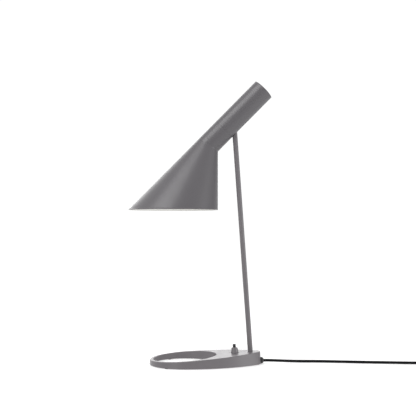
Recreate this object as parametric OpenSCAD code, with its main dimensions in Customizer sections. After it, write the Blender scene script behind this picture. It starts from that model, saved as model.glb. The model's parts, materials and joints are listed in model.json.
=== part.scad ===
// Desk lamp: a ring-shaped sloping base, a thin leaning stem, and a tilting head made of a
// round tube and a cone that share one inscribed ball, so that they meet on a flat oval crease.
// Millimetres. The lamp stands on z = 0, +X points from the shade towards the cord's exit, and
// the y = 0 plane cuts it into two mirrored halves.

/* [Overall] */
// Height of the lamp from the table to the tube's highest corner
lamp_h = 560; // [555:1:565]
// Distance from the centre of the base's round hole to the tilt pivot, along X
pivot_x = 97; // [96:0.5:98]
// Lean of the stem from upright, which is also the slope of the base's top
lean = 4; // [3.8:0.1:4.2]

/* [Head] */
// Angle of the head's tube from upright
head_angle = 44.6; // [44:0.1:45]
// Outside diameter of the head's tube
tube_d = 45; // [44.8:0.1:45.2]
// Thickness of the sheet metal in the head
sheet = 1; // [0.8:0.1:1]
// Length of tube above the pivot
tube_above = 84; // [82:1:86]
// Distance from the pivot down to the centre of the bend
bend_below = 77; // [76:0.5:78]
// Distance from the pivot down to the seam between tube and neck
seam_below = 28.5; // [28.4:0.1:29]
// Length of the seam's inner spigot
spigot_len = 10; // [8:1:10]
// Height of the shade's level rim above the table
rim_z = 304; // [300:1:310]
// Length of the slot above the pivot
slot_above = 20.5; // [20.4:0.1:22]
// Width of the slot that the stem swings in
slot_w = 11; // [10.8:0.1:11.4]

/* [Stem] */
// Outside diameter of the stem
stem_d = 10; // [9.9:0.05:10]
// Bore of the stem
stem_bore = 6; // [5.6:0.1:6]
// Depth of the socket in the base that the stem stands in
stem_seat = 3; // [2:0.5:3]

/* [Base] */
// Radius of the round end of the base
round_r = 69.75; // [69.5:0.25:71]
// Radius of the big round hole
hole_r = 62.2; // [60:0.2:62.4]
// Radius of the narrow end
nose_r = 22.6; // [22.4:0.1:23]
// Distance between the centres of the round end and the narrow end
nose_x = 127.8; // [127:0.1:128.5]
// Radius of the long side curves
side_r = 215; // [209:1:221]
// Height of the base's top over the hole's centre
top_z0 = 15.2; // [15:0.1:15.6]
// Thickness of the foot pads
pad_h = 0.8; // [0.6:0.1:1]
// Thickness of the cover under the base
cover_t = 1.6; // [1.4:0.1:1.6]
// Thickness of the skin over the pocket in the base
skin = 4; // [3.8:0.1:4]

/* [Switch] */
// Distance from the hole's centre to the switch
switch_x = 98.5; // [98:0.5:99]
// Height of the switch's cone-shaped collar
collar_h = 10.6; // [10:0.1:11]
// Diameter of the push button
button_d = 6; // [5.96:0.01:6]
// Height of the button above the collar
button_up = 6.7; // [6:0.1:7]
// Travel of the button
travel = 2.5; // [2:0.1:2.6]

/* [Cord] */
// Diameter of the mains cord
cord_d = 5.4; // [5.2:0.1:5.5]
// Middle radius of the cord's coil
coil_r = 32; // [31:1:34]

/* [Hidden] */
$fn = 72;

// Play between pieces that are fixed together
play = 0.05;
// Play of a part that is pressed or riveted in
snug = 0.02;
// Amount by which a cutting shape runs past the face that it cuts
over = 1;
// Half the size of a block that is sure to be larger than the lamp's own parts
far = 300;

// Head
tube_r = tube_d / 2;
half_angle = head_angle / 2;
pivot_z = lamp_h - tube_above * cos(head_angle) - tube_r * sin(head_angle);
bend_x = pivot_x - bend_below * sin(head_angle);
bend_z = pivot_z - bend_below * cos(head_angle);
// Tilt of the oval crease against the tube's square section
crease = atan(tan(half_angle) / 2);
// The shade's left tip and the tube's right corner are the ends of the lamp along X
tip_x = bend_x - tube_r * cos(head_angle) - (bend_z + tube_r * sin(head_angle) - rim_z) * tan(head_angle);
corner_x = pivot_x + tube_above * sin(head_angle) + tube_r * cos(head_angle);
mid_x = (tip_x + corner_x) / 2;
// The cone is made this far down its own axis, and is then cut level at the rim
cone_down = 190;
cone_up = 40;
bore_r = tube_r - sheet;
spigot_r = bore_r - 0.1;
spigot_t = 0.9;
web = 2;

// Stem, measured down from the pivot; its lower end is a stud with a washer and a nut
stem_r = stem_d / 2;
stem_len = (pivot_z - top_z0) * cos(lean) - pivot_x * sin(lean);
stem_top = 8.5;
stud_r = stem_bore / 2 + 1;
stem_boss_r = 11;
stem_nut_w = 13;
stem_nut_h = 4;
washer_r = 8;
washer_h = 1;
seat_skin = 6;
stud_low = -stem_len - seat_skin - washer_h - stem_nut_h - 1;
knuckle_w = 12;
knuckle_r = 8;
socket_end = 19;
window_z = -14;
window_r = 2.6;

// Base
side_c = (pow(side_r - round_r, 2) - pow(side_r - nose_r, 2) + nose_x * nose_x) / (2 * nose_x);
side_y = sqrt(pow(side_r - round_r, 2) - side_c * side_c);
ledge = 4;
wall = 7;
pocket_x = 74;
ledge_x = pocket_x - 3;
cover_gap = 0.3;
// Height of the block that the base is cut from
blank_h = 40;
boss_r = 3.5;
boss_bore = 1.5;
// Countersunk cover screw
screw_r = 1.45;
screw_head_r = 2.9;
screw_len = 8;
screw_slot = 0.8;
boss_at = [[81, 40], [81, -40], [118, 23.5], [118, -23.5]];
pad_r = 3.4;
pad_at = [[-66, 0], [-33, 57.2], [-33, -57.2], [126, 12], [126, -12], [64, 50], [64, -50]];

// Switch, along its own axis, from the base's top
neck_r = 4;
neck_up = 8;
case_w = 13;
collar_low_r = 7.4;
collar_top_r = 6;
chamber_r = 4.6;
chamber_top = -5;
flange_r = 4.3;
flange_h = 1.2;
rest_gap = 0.3;
button_low = chamber_top - rest_gap - flange_h;
button_top = collar_h + button_up;
button_edge = 0.6;
// The case is deep enough for the travel and for the spring when it is closed
spring_closed = 5;
case_down = travel + spring_closed - button_low;
spring_wire = 0.35;
spring_coil_r = 3.3;
spring_turns = 5;
spring_steps = 60;
switch_base_h = 1.2;
tag_pitch = 5.2;
tag_w = 3;
tag_t = 0.8;
tag_len = 2.4;
core_r = 0.9;

// Terminal block and cord clamp
block_at = [88, 24];
block_size = [14, 17, 9];
block_pitch = 4;
block_bore = 1.6;
block_screw_r = 1.5;
block_screw_h = 3;
clamp_at = [111, 16];
clamp_z = 9;
clamp_t = 1.8;
clamp_w = 6;
clamp_gap = 7;
clamp_end = 4;
clamp_post_r = 3;
clamp_post_bore = 1.25;
clamp_screw_r = 1.2;
clamp_head_r = 2.25;
clamp_head_h = 1.5;

// Gland
cord_r = cord_d / 2;
gland_z = 7.3;
gland_r = 6.5;
gland_tip_r = 4.4;
gland_out = 4.5;
gland_neck_r = 3.9;
gland_lip_r = 4.6;
gland_lip_h = 1.4;
gland_in = wall + 2.2;
nose_end = nose_x + nose_r;
spot = 1.2;
spot_r = gland_r + 0.5;
lead_r = 2.3;

// Hinge in the head
pin_r = 3;
washer_in = 6.3;
washer_out = 7.4;
ear_t = 2.5;
ear_r = 7;
bridge_in = 16.5;
bridge_half = 14;
rivet_at = 10;
rivet_r = 1.5;
rivet_head_r = 3;
rivet_head_h = 1.4;
pin_head_r = 5.5;
pin_head_h = 3.4;
pin_key_r = 2.3;
pin_key_h = 2;
pin_nut_w = 10;
pin_nut_h = 5;
pin_end = 1.5;

// End cap of the tube, set in below the tube's edge, with two rings of vents
cap_set_in = 2.5;
cap_h = 9;
cap_t = 1.5;
cap_wall = 1.2;
vent_r = 1.8;
vent_rings = [[14, 12], [7, 6]];

// Lamp holder, measured down the tube from the pivot
plate_at = -36.5;
plate_t = 1.5;
plate_h = 5;
plate_hole_r = 3;
plate_hole_at = 13.5;
holder_top = -39.5;
holder_low = -76;
holder_r = 14;
holder_edge = 1.5;
socket_depth = 25;
nipple_r = 5;
nipple_bore = 3.2;
nipple_low = -42;
nipple_h = 13;
nipple_nut_w = 14;
nipple_nut_h = 3;
chamber_z = -48;
chamber_h = 5.5;
wire_chamber_r = 9.5;
shell_r = 7.6;
shell_h = 24;
contact_r = 2.5;
contact_h = 0.45;
head_lead_len = 24;

// Bulb: the screw cap, and the glass as [distance below its cap, radius]
cap_r = 6.9;
cap_len = 22;
tip_len = 2.5;
tip_r = 5;
tip_end_r = 2.2;
bulb_len = 76;
bulb_t = 0.9;
bulb_shape = [[0, 6.9], [5, 8.6], [13, 12.6], [22, 15.8], [31, 17.3], [38, 17.5], [46, 16.9],
    [56, 14.6], [65, 11], [71.5, 7], [75, 3.4]];

// The coil: turns side by side, wound in layers; its outer turn starts where the run ends, and
// it lies on the tie that holds it, a little above the table
coil_wide = 4;
coil_layers = 2;
coil_lift = 0.8;
coil_start = [476, -5, coil_lift + cord_r];
coil_at = [coil_start[0], coil_start[1] - coil_r - (coil_wide - 1) / 2 * cord_d, coil_lift];
coil_in = coil_r - coil_wide / 2 * cord_d;
coil_out = coil_r + coil_wide / 2 * cord_d;
coil_h = coil_layers * cord_d;
coil_corner = 1.6;
tie_t = 0.7;
tie_w = 9;
tie_gap = 0.05;

// Plug
plug_len = 34;
plug_h = 14;
plug_w = 35;
plug_neck = 4;
relief_len = 20;
relief_r1 = 4;
relief_r2 = 5.5;
pin_pitch = 19;
plug_pin_r = 2;
plug_pin_at = relief_len + 20;
plug_pin_len = 30;
plug_pin_tip = 1;

// Cord: its route on the table, chosen by hand: out of the gland, down to the table and along it,
// and from the top of the coil down and up again to the plug
run_points = [
    [125.2, 0, 7.3], [137, 0, 7.2], [153, 2, 6.4], [171, 8, 4.8], [191, 14, 3.4], [213, 17, cord_r],
    [241, 16, cord_r], [276, 12, cord_r], [321, 6, cord_r], [371, 1, cord_r], [416, -3, cord_r],
    [446, -5, cord_r + 0.2], coil_start
];
tail_points = [
    coil_start + [0, 0, cord_d], [489, -5, 8.3], [505, -5, 6.6], [519, -5, 5.6], [533, -5, 6.4],
    [540, -5, plug_h / 2], [545, -5, plug_h / 2]
];
plug_at = [545.1, -5, plug_h / 2];

// ---------- Outline and frames ----------

function arc(cx, cy, r, a0, a1, n) = [for (i = [0 : n - 1]) let (a = a0 + (a1 - a0) * i / n)
    [cx + r * cos(a), cy + r * sin(a)]];

// Outline of the base, moved in by a distance: round end, two side curves and narrow end,
// each tangent to the next
function base_outline(inset) = let (
        a1 = atan2(side_y, -side_c),
        a2 = atan2(side_y, nose_x - side_c))
    concat(
        arc(side_c, -side_y, side_r - inset, a2, a1, 20),
        arc(0, 0, round_r - inset, a1, 360 - a1, 60),
        arc(side_c, side_y, side_r - inset, -a1, -a2, 20),
        arc(nose_x, 0, nose_r - inset, -a2, a2, 24));

// From the centre of the base's hole to the lamp's own origin
module from_hole() {
    translate([-mid_x, 0, 0]) children();
}

// On the base's sloping top, with +Z square to it
module on_top(x, y) {
    from_hole() translate([0, 0, top_z0]) rotate([0, -lean, 0])
        translate([x / cos(lean), y, 0]) children();
}

// Along the stem: z = 0 is the pivot and -Z runs down the stem
module on_stem() {
    from_hole() translate([pivot_x, 0, pivot_z]) rotate([0, -lean, 0]) children();
}

// In the head: z = 0 is the pivot, +Z runs up the tube and +X is its underside
module in_head() {
    from_hole() translate([pivot_x, 0, pivot_z]) rotate([0, head_angle, 0]) children();
}

module ring(r_out, r_in, h) {
    difference() {
        cylinder(h = h, r = r_out);
        translate([0, 0, -over]) cylinder(h = h + 2 * over, r = r_in);
    }
}

// A hexagon with a round hole, such as a nut
module hex_nut(across, r_in, h) {
    difference() {
        cylinder(h = h, r = across / sqrt(3), $fn = 6);
        translate([0, 0, -over]) cylinder(h = h + 2 * over, r = r_in);
    }
}

// ---------- Sweep ----------

function unit(v) = v / norm(v);

function tangent(path, i) = unit(path[min(i + 1, len(path) - 1)] - path[max(i - 1, 0)]);

// Rings of points round a path; ref is a direction that the path never takes
function sweep_points(path, r, sides, ref) = [for (i = [0 : len(path) - 1])
    let (t = tangent(path, i), u = unit(cross(t, ref)), v = cross(t, u))
    for (j = [0 : sides - 1]) let (a = 360 * (j + 0.5) / sides)
        path[i] + r * cos(a) * u + r * sin(a) * v];

function sweep_faces(rings, sides) = concat(
    [[for (j = [0 : sides - 1]) j]],
    [for (i = [0 : rings - 2], j = [0 : sides - 1]) let (k = (j + 1) % sides)
        [i * sides + k, i * sides + j, (i + 1) * sides + j, (i + 1) * sides + k]],
    [[for (j = [0 : sides - 1]) rings * sides - 1 - j]]);

module swept(path, r, sides, ref = [0, 0, 1]) {
    polyhedron(points = sweep_points(path, r, sides, ref),
        faces = sweep_faces(len(path), sides), convexity = 6);
}

// A smooth curve through the route's points, with so many steps between two of them
function curve_at(p0, p1, p2, p3, t) = 0.5 * (2 * p1 + (p2 - p0) * t
    + (2 * p0 - 5 * p1 + 4 * p2 - p3) * t * t + (3 * p1 - p0 - 3 * p2 + p3) * t * t * t);

function smooth(pts, steps) = let (n = len(pts)) concat(
    [for (i = [0 : n - 2], s = [0 : steps - 1])
        curve_at(pts[max(i - 1, 0)], pts[i], pts[i + 1], pts[min(i + 2, n - 1)], s / steps)],
    [pts[n - 1]]);

// ---------- Base ----------

module pocket_outline(inset, x0) {
    intersection() {
        polygon(base_outline(inset));
        translate([x0, -round_r]) square([nose_end, 2 * round_r]);
    }
}

module above_top(drop) {
    translate([0, 0, top_z0]) rotate([0, -lean, 0])
        translate([-far, -far, -drop]) cube(2 * far);
}

module base_casting() {
    color("#7b7a7d") from_hole() difference() {
        translate([0, 0, pad_h]) linear_extrude(height = blank_h) polygon(base_outline(0));
        above_top(0);
        cylinder(h = pad_h + blank_h + over, r = hole_r, $fn = 120);
        translate([0, 0, pad_h - over]) linear_extrude(height = cover_t + over)
            pocket_outline(ledge, ledge_x);
        base_pocket();
        stem_hole();
        switch_hole();
        gland_hole();
    }
}

module base_pocket() {
    difference() {
        translate([0, 0, pad_h]) linear_extrude(height = blank_h) pocket_outline(wall, pocket_x);
        above_top(skin);
        for (p = boss_at) translate([p[0], p[1], 0]) ring(boss_r, boss_bore, blank_h);
        for (s = [-1, 1]) translate([clamp_at[0], clamp_at[1] + s * clamp_gap, clamp_z - cord_r])
            ring(clamp_post_r, clamp_post_bore, blank_h);
        stem_boss();
    }
}

module stem_boss() {
    translate([pivot_x, 0, pivot_z]) rotate([0, -lean, 0])
        translate([0, 0, -stem_len - seat_skin]) cylinder(h = seat_skin, r = stem_boss_r);
}

module stem_hole() {
    translate([pivot_x, 0, pivot_z]) rotate([0, -lean, 0]) {
        translate([0, 0, -stem_len - stem_seat]) cylinder(h = stem_seat + over, r = stem_r + play);
        translate([0, 0, -stem_len - seat_skin - over]) cylinder(h = seat_skin, r = stud_r + play);
    }
}

module switch_hole() {
    translate([0, 0, top_z0]) rotate([0, -lean, 0]) translate([switch_x / cos(lean), 0, -skin - over])
        cylinder(h = skin + 2 * over, r = neck_r + play);
}

module gland_hole() {
    translate([nose_end - gland_in, 0, gland_z]) rotate([0, 90, 0])
        cylinder(h = gland_in + over, r = gland_neck_r + play);
    translate([nose_end - spot, 0, gland_z]) rotate([0, 90, 0]) cylinder(h = spot + over, r = spot_r);
}

module bottom_cover() {
    color("#3c3c3e") from_hole() difference() {
        translate([0, 0, pad_h]) linear_extrude(height = cover_t)
            pocket_outline(ledge + cover_gap, ledge_x + cover_gap);
        for (p = boss_at) translate([p[0], p[1], pad_h]) {
            translate([0, 0, -over]) cylinder(h = cover_t + 2 * over, r = screw_r + 3 * play);
            cylinder(h = screw_head_r - screw_r + play, r1 = screw_head_r + 2 * play, r2 = screw_r + play);
        }
    }
}

module cover_screws() {
    color("#c3c3c6") from_hole() for (p = boss_at) translate([p[0], p[1], pad_h]) difference() {
        union() {
            cylinder(h = screw_head_r - screw_r, r1 = screw_head_r, r2 = screw_r);
            cylinder(h = screw_len, r = screw_r);
        }
        translate([-2, -screw_slot / 2, -over]) cube([4, screw_slot, over + 0.6]);
    }
}

module foot_pads() {
    color("#222224") from_hole() for (p = pad_at)
        translate([p[0], p[1], 0]) cylinder(h = pad_h, r = pad_r);
}

// ---------- Stem ----------

module stem_tube() {
    color("#848386") on_stem() difference() {
        union() {
            translate([0, 0, -stem_len - stem_seat]) cylinder(h = stem_len + stem_seat - stem_top, r = stem_r);
            translate([0, 0, stud_low]) cylinder(h = -stem_len - stud_low, r = stud_r);
        }
        translate([0, 0, stud_low - over]) cylinder(h = over - stud_low, r = stem_bore / 2);
        lead_window();
    }
}

// The side hole near the top, where the lead leaves the stem
module lead_window() {
    translate([0, 0, window_z]) rotate([0, -90, 0]) cylinder(h = 2 * stem_r, r = window_r);
}

module stem_washer() {
    color("#c3c3c6") on_stem() translate([0, 0, -stem_len - seat_skin - washer_h])
        ring(washer_r, stud_r + play, washer_h);
}

module stem_nut() {
    color("#c3c3c6") on_stem() translate([0, 0, -stem_len - seat_skin - washer_h - stem_nut_h])
        hex_nut(stem_nut_w, stud_r + play, stem_nut_h);
}

// The eye on top of the stem that the pivot pin goes through
module tilt_knuckle() {
    color("#8c8c90") on_stem() difference() {
        union() {
            rotate([90, 0, 0]) translate([0, 0, -knuckle_w / 2]) cylinder(h = knuckle_w, r = knuckle_r);
            translate([0, 0, -socket_end]) cylinder(h = socket_end, r = knuckle_w / 2);
        }
        rotate([90, 0, 0]) translate([0, 0, -knuckle_w]) cylinder(h = 2 * knuckle_w, r = pin_r + play);
        translate([0, 0, -socket_end - over]) cylinder(h = socket_end + over - stem_top, r = stem_r + snug);
        lead_window();
    }
}

// The two-core lead: from the terminal block, round the switch and up inside the stem
module stem_lead() {
    down = [sin(lean), 0, -cos(lean)];
    pivot = [pivot_x, 0, pivot_z];
    path = [[83, 15.2, 9], [82, 6, 8.5], [83.5, -4, 7.6], [89, -11, 6.6], [98, -13.6, 5.8],
        [108, -13, 5.6], [117, -10, 5.8], [124.5, -5.5, 6.8], [128.5, -2.2, 8.8],
        pivot - (stud_low + 1) * down, pivot + 2 * stem_top * down];
    color("#e8e6e0") from_hole() swept(path, lead_r, 8, [1, 0.9, 0.1]);
}

// ---------- Switch ----------

module switch_collar() {
    color("#6c6b6d") on_top(switch_x, 0) difference() {
        cylinder(h = collar_h, r1 = collar_low_r, r2 = collar_top_r);
        translate([0, 0, -over]) cylinder(h = neck_up + 0.2 + over, r = neck_r + play);
        cylinder(h = collar_h + over, r = button_d / 2 + play);
    }
}

module switch_body() {
    color("#2a2a2c") on_top(switch_x, 0) difference() {
        union() {
            translate([-case_w / 2, -case_w / 2, -case_down])
                cube([case_w, case_w, case_down - skin]);
            translate([0, 0, -skin - over]) cylinder(h = skin + over + neck_up, r = neck_r);
        }
        translate([0, 0, -case_down]) cylinder(h = case_down + neck_up + over, r = button_d / 2 + play);
        translate([0, 0, -case_down - over]) cylinder(h = case_down + over + chamber_top, r = chamber_r);
    }
}

module switch_base() {
    color("#b9a77a") on_top(switch_x, 0) {
        translate([-case_w / 2, -case_w / 2, -case_down - switch_base_h])
            cube([case_w, case_w, switch_base_h]);
        for (s = [-1, 1])
            translate([s * tag_pitch / 2 - tag_t / 2, -tag_w / 2, -case_down - switch_base_h - tag_len])
                cube([tag_t, tag_w, tag_len + over / 2]);
    }
}

module switch_spring() {
    low = -case_down + spring_wire + play;
    high = button_low - spring_wire - play;
    path = [for (i = [0 : spring_steps]) let (share = i / spring_steps, a = 360 * spring_turns * share)
        [spring_coil_r * cos(a), spring_coil_r * sin(a), low + (high - low) * share]];
    color("#c3c3c6") on_top(switch_x, 0) swept(path, spring_wire, 6);
}

module switch_button() {
    color("#333335") on_top(switch_x, 0) {
        translate([0, 0, button_low]) cylinder(h = flange_h, r = flange_r);
        translate([0, 0, button_low]) cylinder(h = button_top - button_low - button_edge, r = button_d / 2);
        translate([0, 0, button_top - button_edge])
            cylinder(h = button_edge, r1 = button_d / 2, r2 = button_d / 2 - button_edge);
    }
}

module switch_leads() {
    color("#5a4632") from_hole() for (x = [0, 4])
        swept([[89 + x, 15.4, 8], [90.5 + x, 12, 6.6], [93.5 + x, 7, 5], [96 + x, 2.7, 4.9]], core_r, 8);
}

// ---------- Wiring in the base ----------

module terminal_block() {
    color("#ece9df") on_top(block_at[0], block_at[1]) difference() {
        translate([-block_size[0] / 2, -block_size[1] / 2, -skin - block_size[2]]) cube(block_size);
        for (s = [-1, 1]) translate([-block_size[0], s * block_pitch, -skin - block_size[2] / 2])
            rotate([0, 90, 0]) cylinder(h = 2 * block_size[0], r = block_bore);
        for (s = [-1, 1], e = [-1, 1])
            translate([e * block_pitch, s * block_pitch, -skin - block_size[2] - over])
                cylinder(h = over + block_size[2] / 2, r = block_screw_r);
    }
}

module terminal_screws() {
    color("#c9a24b") on_top(block_at[0], block_at[1]) for (s = [-1, 1], e = [-1, 1])
        translate([e * block_pitch, s * block_pitch, -skin - block_size[2]]) difference() {
            cylinder(h = block_screw_h, r = block_screw_r - play);
            translate([-2, -0.3, -over]) cube([4, 0.6, over + 0.5]);
        }
}

module cord_clamp() {
    color("#c3c3c6") from_hole()
        translate([clamp_at[0], clamp_at[1], clamp_z - cord_r - clamp_t]) difference() {
            translate([-clamp_w / 2, -clamp_gap - clamp_end, 0])
                cube([clamp_w, 2 * (clamp_gap + clamp_end), clamp_t]);
            for (s = [-1, 1]) translate([0, s * clamp_gap, -over])
                cylinder(h = clamp_t + 2 * over, r = clamp_screw_r + 2 * play);
        }
}

module clamp_screws() {
    color("#c3c3c6") from_hole() for (s = [-1, 1])
        translate([clamp_at[0], clamp_at[1] + s * clamp_gap, clamp_z - cord_r - clamp_t]) {
            translate([0, 0, -clamp_head_h]) cylinder(h = clamp_head_h, r = clamp_head_r);
            cylinder(h = screw_len, r = clamp_screw_r);
        }
}

// The bevelled black bush that the cord comes out of
module cord_gland() {
    color("#232325") from_hole() translate([nose_end, 0, gland_z]) rotate([0, 90, 0]) difference() {
        union() {
            translate([0, 0, -spot]) cylinder(h = spot + gland_out / 2, r = gland_r);
            translate([0, 0, gland_out / 2]) cylinder(h = gland_out / 2, r1 = gland_r, r2 = gland_tip_r);
            translate([0, 0, -gland_in]) cylinder(h = gland_in, r = gland_neck_r);
            translate([0, 0, -gland_in]) cylinder(h = gland_lip_h, r = gland_lip_r);
        }
        translate([0, 0, -gland_in - over])
            cylinder(h = gland_in + gland_out + 2 * over, r = cord_r + play);
    }
}

// The cord's own end inside the base: through the gland and the clamp to the terminal block
module base_lead() {
    path = [[nose_end + gland_out, 0, gland_z], [141, 0, gland_z], [137, 1.2, 7.4], [132, 5.6, 7.8],
        [127, 10, 8.2], [120, 13.8, clamp_z], [111, 16, clamp_z], [103, 19, clamp_z],
        [97.8, 21.8, clamp_z + 1]];
    color("#2b2b2d") from_hole() swept(path, cord_r, 10);
}

// ---------- Head ----------

module level_cut() {
    translate([-far, -far, rim_z - 2 * far]) cube(2 * far);
}

// A block whose lower face is the oval crease of a tube and cone with this radius
module above_crease(r) {
    translate([-r, 0, -bend_below]) rotate([0, -crease, 0]) translate([-far, -far, 0]) cube(2 * far);
}

// The full cone that touches a ball of this radius at the bend
module cone_of(r) {
    translate([0, 0, -bend_below]) rotate([0, -half_angle, 0]) translate([0, 0, -cone_down])
        cylinder(h = cone_down + cone_up, r1 = (cone_down + r / sin(half_angle)) * tan(half_angle),
            r2 = (r / sin(half_angle) - cone_up) * tan(half_angle), $fn = 120);
}

module shade_cone() {
    color("#7b7a7d") difference() {
        in_head() difference() {
            cone_of(tube_r);
            cone_of(bore_r);
            above_crease(tube_r);
        }
        from_hole() level_cut();
    }
}

module shade_neck() {
    color("#7b7a7d") in_head() intersection() {
        translate([0, 0, -2 * bend_below]) ring(tube_r, bore_r, 2 * bend_below - seam_below);
        above_crease(tube_r);
    }
}

module head_tube() {
    color("#7b7a7d") in_head() difference() {
        union() {
            translate([0, 0, -seam_below]) cylinder(h = seam_below + tube_above, r = tube_r);
            translate([0, 0, -seam_below - spigot_len]) cylinder(h = spigot_len + over, r = spigot_r);
        }
        translate([0, 0, -seam_below + web]) cylinder(h = tube_above + seam_below, r = bore_r);
        translate([0, 0, -seam_below - spigot_len - over])
            cylinder(h = spigot_len + web + 2 * over, r = spigot_r - spigot_t);
        tube_slot();
        for (s = [-1, 1]) rivet_hole(s * rivet_at);
    }
}

module tube_slot() {
    low = -seam_below + slot_w / 2;
    high = slot_above - slot_w / 2;
    translate([tube_r / 2, -slot_w / 2, low]) cube([tube_r, slot_w, high - low]);
    for (z = [low, high]) translate([tube_r / 2, 0, z]) rotate([0, 90, 0])
        cylinder(h = tube_r, r = slot_w / 2);
}

module rivet_hole(z) {
    translate([-tube_r - over, 0, z]) rotate([0, 90, 0])
        cylinder(h = tube_r - bridge_in + 4 * over, r = rivet_r);
}

// The vented disc that closes the tube's upper end, set in a little
module tube_end_cap() {
    color("#6c6b6d") in_head() translate([0, 0, tube_above - cap_set_in]) difference() {
        translate([0, 0, -cap_h]) cylinder(h = cap_h, r = bore_r - play);
        translate([0, 0, -cap_h - over]) cylinder(h = cap_h - cap_t + over, r = bore_r - play - cap_wall);
        for (ring = vent_rings, i = [0 : ring[1] - 1]) rotate([0, 0, 360 / ring[1] * i])
            translate([ring[0], 0, -cap_t - over]) cylinder(h = cap_t + 2 * over, r = vent_r);
    }
}

// The bracket riveted inside the tube, with one ear on each side of the knuckle
module hinge_yoke() {
    outer = washer_out + ear_t;
    color("#c3c3c6") in_head() difference() {
        intersection() {
            translate([0, 0, -bridge_half]) cylinder(h = 2 * bridge_half, r = bore_r - play);
            union() {
                translate([-tube_r, -outer, -bridge_half])
                    cube([tube_r - bridge_in, 2 * outer, 2 * bridge_half]);
                for (s = [-1, 1]) translate([0, s * (washer_out + ear_t / 2), 0]) {
                    translate([-tube_r, -ear_t / 2, -ear_r]) cube([tube_r, ear_t, 2 * ear_r]);
                    rotate([90, 0, 0]) translate([0, 0, -ear_t / 2]) cylinder(h = ear_t, r = ear_r);
                }
            }
        }
        rotate([90, 0, 0]) translate([0, 0, -outer - over])
            cylinder(h = 2 * (outer + over), r = pin_r + snug);
        for (s = [-1, 1]) rivet_hole(s * rivet_at);
    }
}

module yoke_rivets() {
    color("#9a9a9e") in_head() for (s = [-1, 1]) intersection() {
        translate([0, 0, s * rivet_at]) rotate([0, 90, 0]) {
            translate([0, 0, -tube_r]) cylinder(h = tube_r - bridge_in, r = rivet_r - snug / 2);
            translate([0, 0, -bridge_in]) cylinder(h = rivet_head_h, r1 = rivet_head_r, r2 = rivet_head_r - 1);
        }
        translate([0, 0, -bridge_half]) cylinder(h = 2 * bridge_half, r = tube_r);
    }
}

module pivot_pin() {
    outer = washer_out + ear_t;
    color("#c3c3c6") in_head() rotate([90, 0, 0]) {
        translate([0, 0, -outer - pin_nut_h - pin_end])
            cylinder(h = 2 * outer + pin_nut_h + pin_end, r = pin_r);
        translate([0, 0, outer]) difference() {
            cylinder(h = pin_head_h, r = pin_head_r);
            translate([0, 0, pin_head_h - pin_key_h]) cylinder(h = pin_key_h + over, r = pin_key_r, $fn = 6);
        }
    }
}

module pivot_nut() {
    color("#c3c3c6") in_head() rotate([90, 0, 0]) translate([0, 0, -washer_out - ear_t - pin_nut_h])
        hex_nut(pin_nut_w, pin_r + snug, pin_nut_h);
}

module friction_washers() {
    color("#7a3b2a") in_head() rotate([90, 0, 0]) for (z = [-washer_out, washer_in])
        translate([0, 0, z]) ring(knuckle_r, pin_r + play, washer_out - washer_in);
}

// ---------- Lamp holder and bulb ----------

// The dished plate across the tube that carries the lamp holder
module holder_plate() {
    outer = spigot_r - spigot_t - play;
    through = plate_t + 2 * over;
    color("#c3c3c6") in_head() translate([0, 0, plate_at]) difference() {
        cylinder(h = plate_h, r = outer);
        translate([0, 0, plate_t]) cylinder(h = plate_h, r = outer - 1);
        translate([0, 0, -over]) cylinder(h = through, r = nipple_r + play);
        for (a = [45 : 90 : 315]) rotate([0, 0, a]) translate([plate_hole_at, 0, -over])
            cylinder(h = through, r = plate_hole_r);
    }
}

module holder_nipple() {
    color("#c9a24b") in_head() translate([0, 0, nipple_low]) ring(nipple_r, nipple_bore, nipple_h);
}

module holder_nuts() {
    color("#c9a24b") in_head() {
        translate([0, 0, plate_at + plate_t]) hex_nut(nipple_nut_w, nipple_r + play, nipple_nut_h);
        translate([0, 0, holder_top]) hex_nut(nipple_nut_w, nipple_r + play, plate_at - holder_top);
    }
}

module lamp_holder() {
    color("#e9e7e1") in_head() difference() {
        union() {
            translate([0, 0, holder_low]) cylinder(h = holder_top - holder_low - holder_edge, r = holder_r);
            translate([0, 0, holder_top - holder_edge])
                cylinder(h = holder_edge, r1 = holder_r, r2 = holder_r - holder_edge);
        }
        translate([0, 0, holder_low - over]) cylinder(h = socket_depth + over, r = shell_r + play);
        translate([0, 0, chamber_z]) cylinder(h = chamber_h, r = wire_chamber_r);
        translate([0, 0, nipple_low - 2 * over])
            cylinder(h = holder_top - nipple_low + 3 * over, r = nipple_r + play);
    }
}

module holder_shell() {
    color("#c9a24b") in_head() translate([0, 0, holder_low + 1]) ring(shell_r, cap_r + 2 * play, shell_h);
}

module holder_contact() {
    color("#c9a24b") in_head() translate([0, 0, holder_low + socket_depth - contact_h])
        cylinder(h = contact_h, r = contact_r);
}

module head_lead() {
    color("#e8e6e0") in_head() translate([0, 0, chamber_z + 2 * play]) cylinder(h = head_lead_len, r = lead_r);
}

module bulb_cap() {
    color("#b9babd") in_head() {
        translate([0, 0, holder_low]) cylinder(h = cap_len, r = cap_r);
        translate([0, 0, holder_low + cap_len]) cylinder(h = tip_len, r1 = tip_r, r2 = tip_end_r);
    }
}

// The bulb's shape, made thinner by t, and open upwards from start
module bulb_solid(t, start) {
    rotate_extrude() polygon(concat(
        [[0, start], [bulb_shape[0][1] - t, start]],
        [for (i = [1 : len(bulb_shape) - 1]) [bulb_shape[i][1] - t, bulb_shape[i][0] - t / 4]],
        [[0, bulb_len - t]]));
}

module bulb_glass() {
    color("#f6f4ee") in_head() translate([0, 0, holder_low]) mirror([0, 0, 1]) difference() {
        bulb_solid(0, 0);
        bulb_solid(bulb_t, -over);
    }
}

// ---------- Mains cord ----------

module power_cord_run() {
    color("#2b2b2d") swept(smooth(run_points, 2), cord_r, 10);
}

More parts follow.
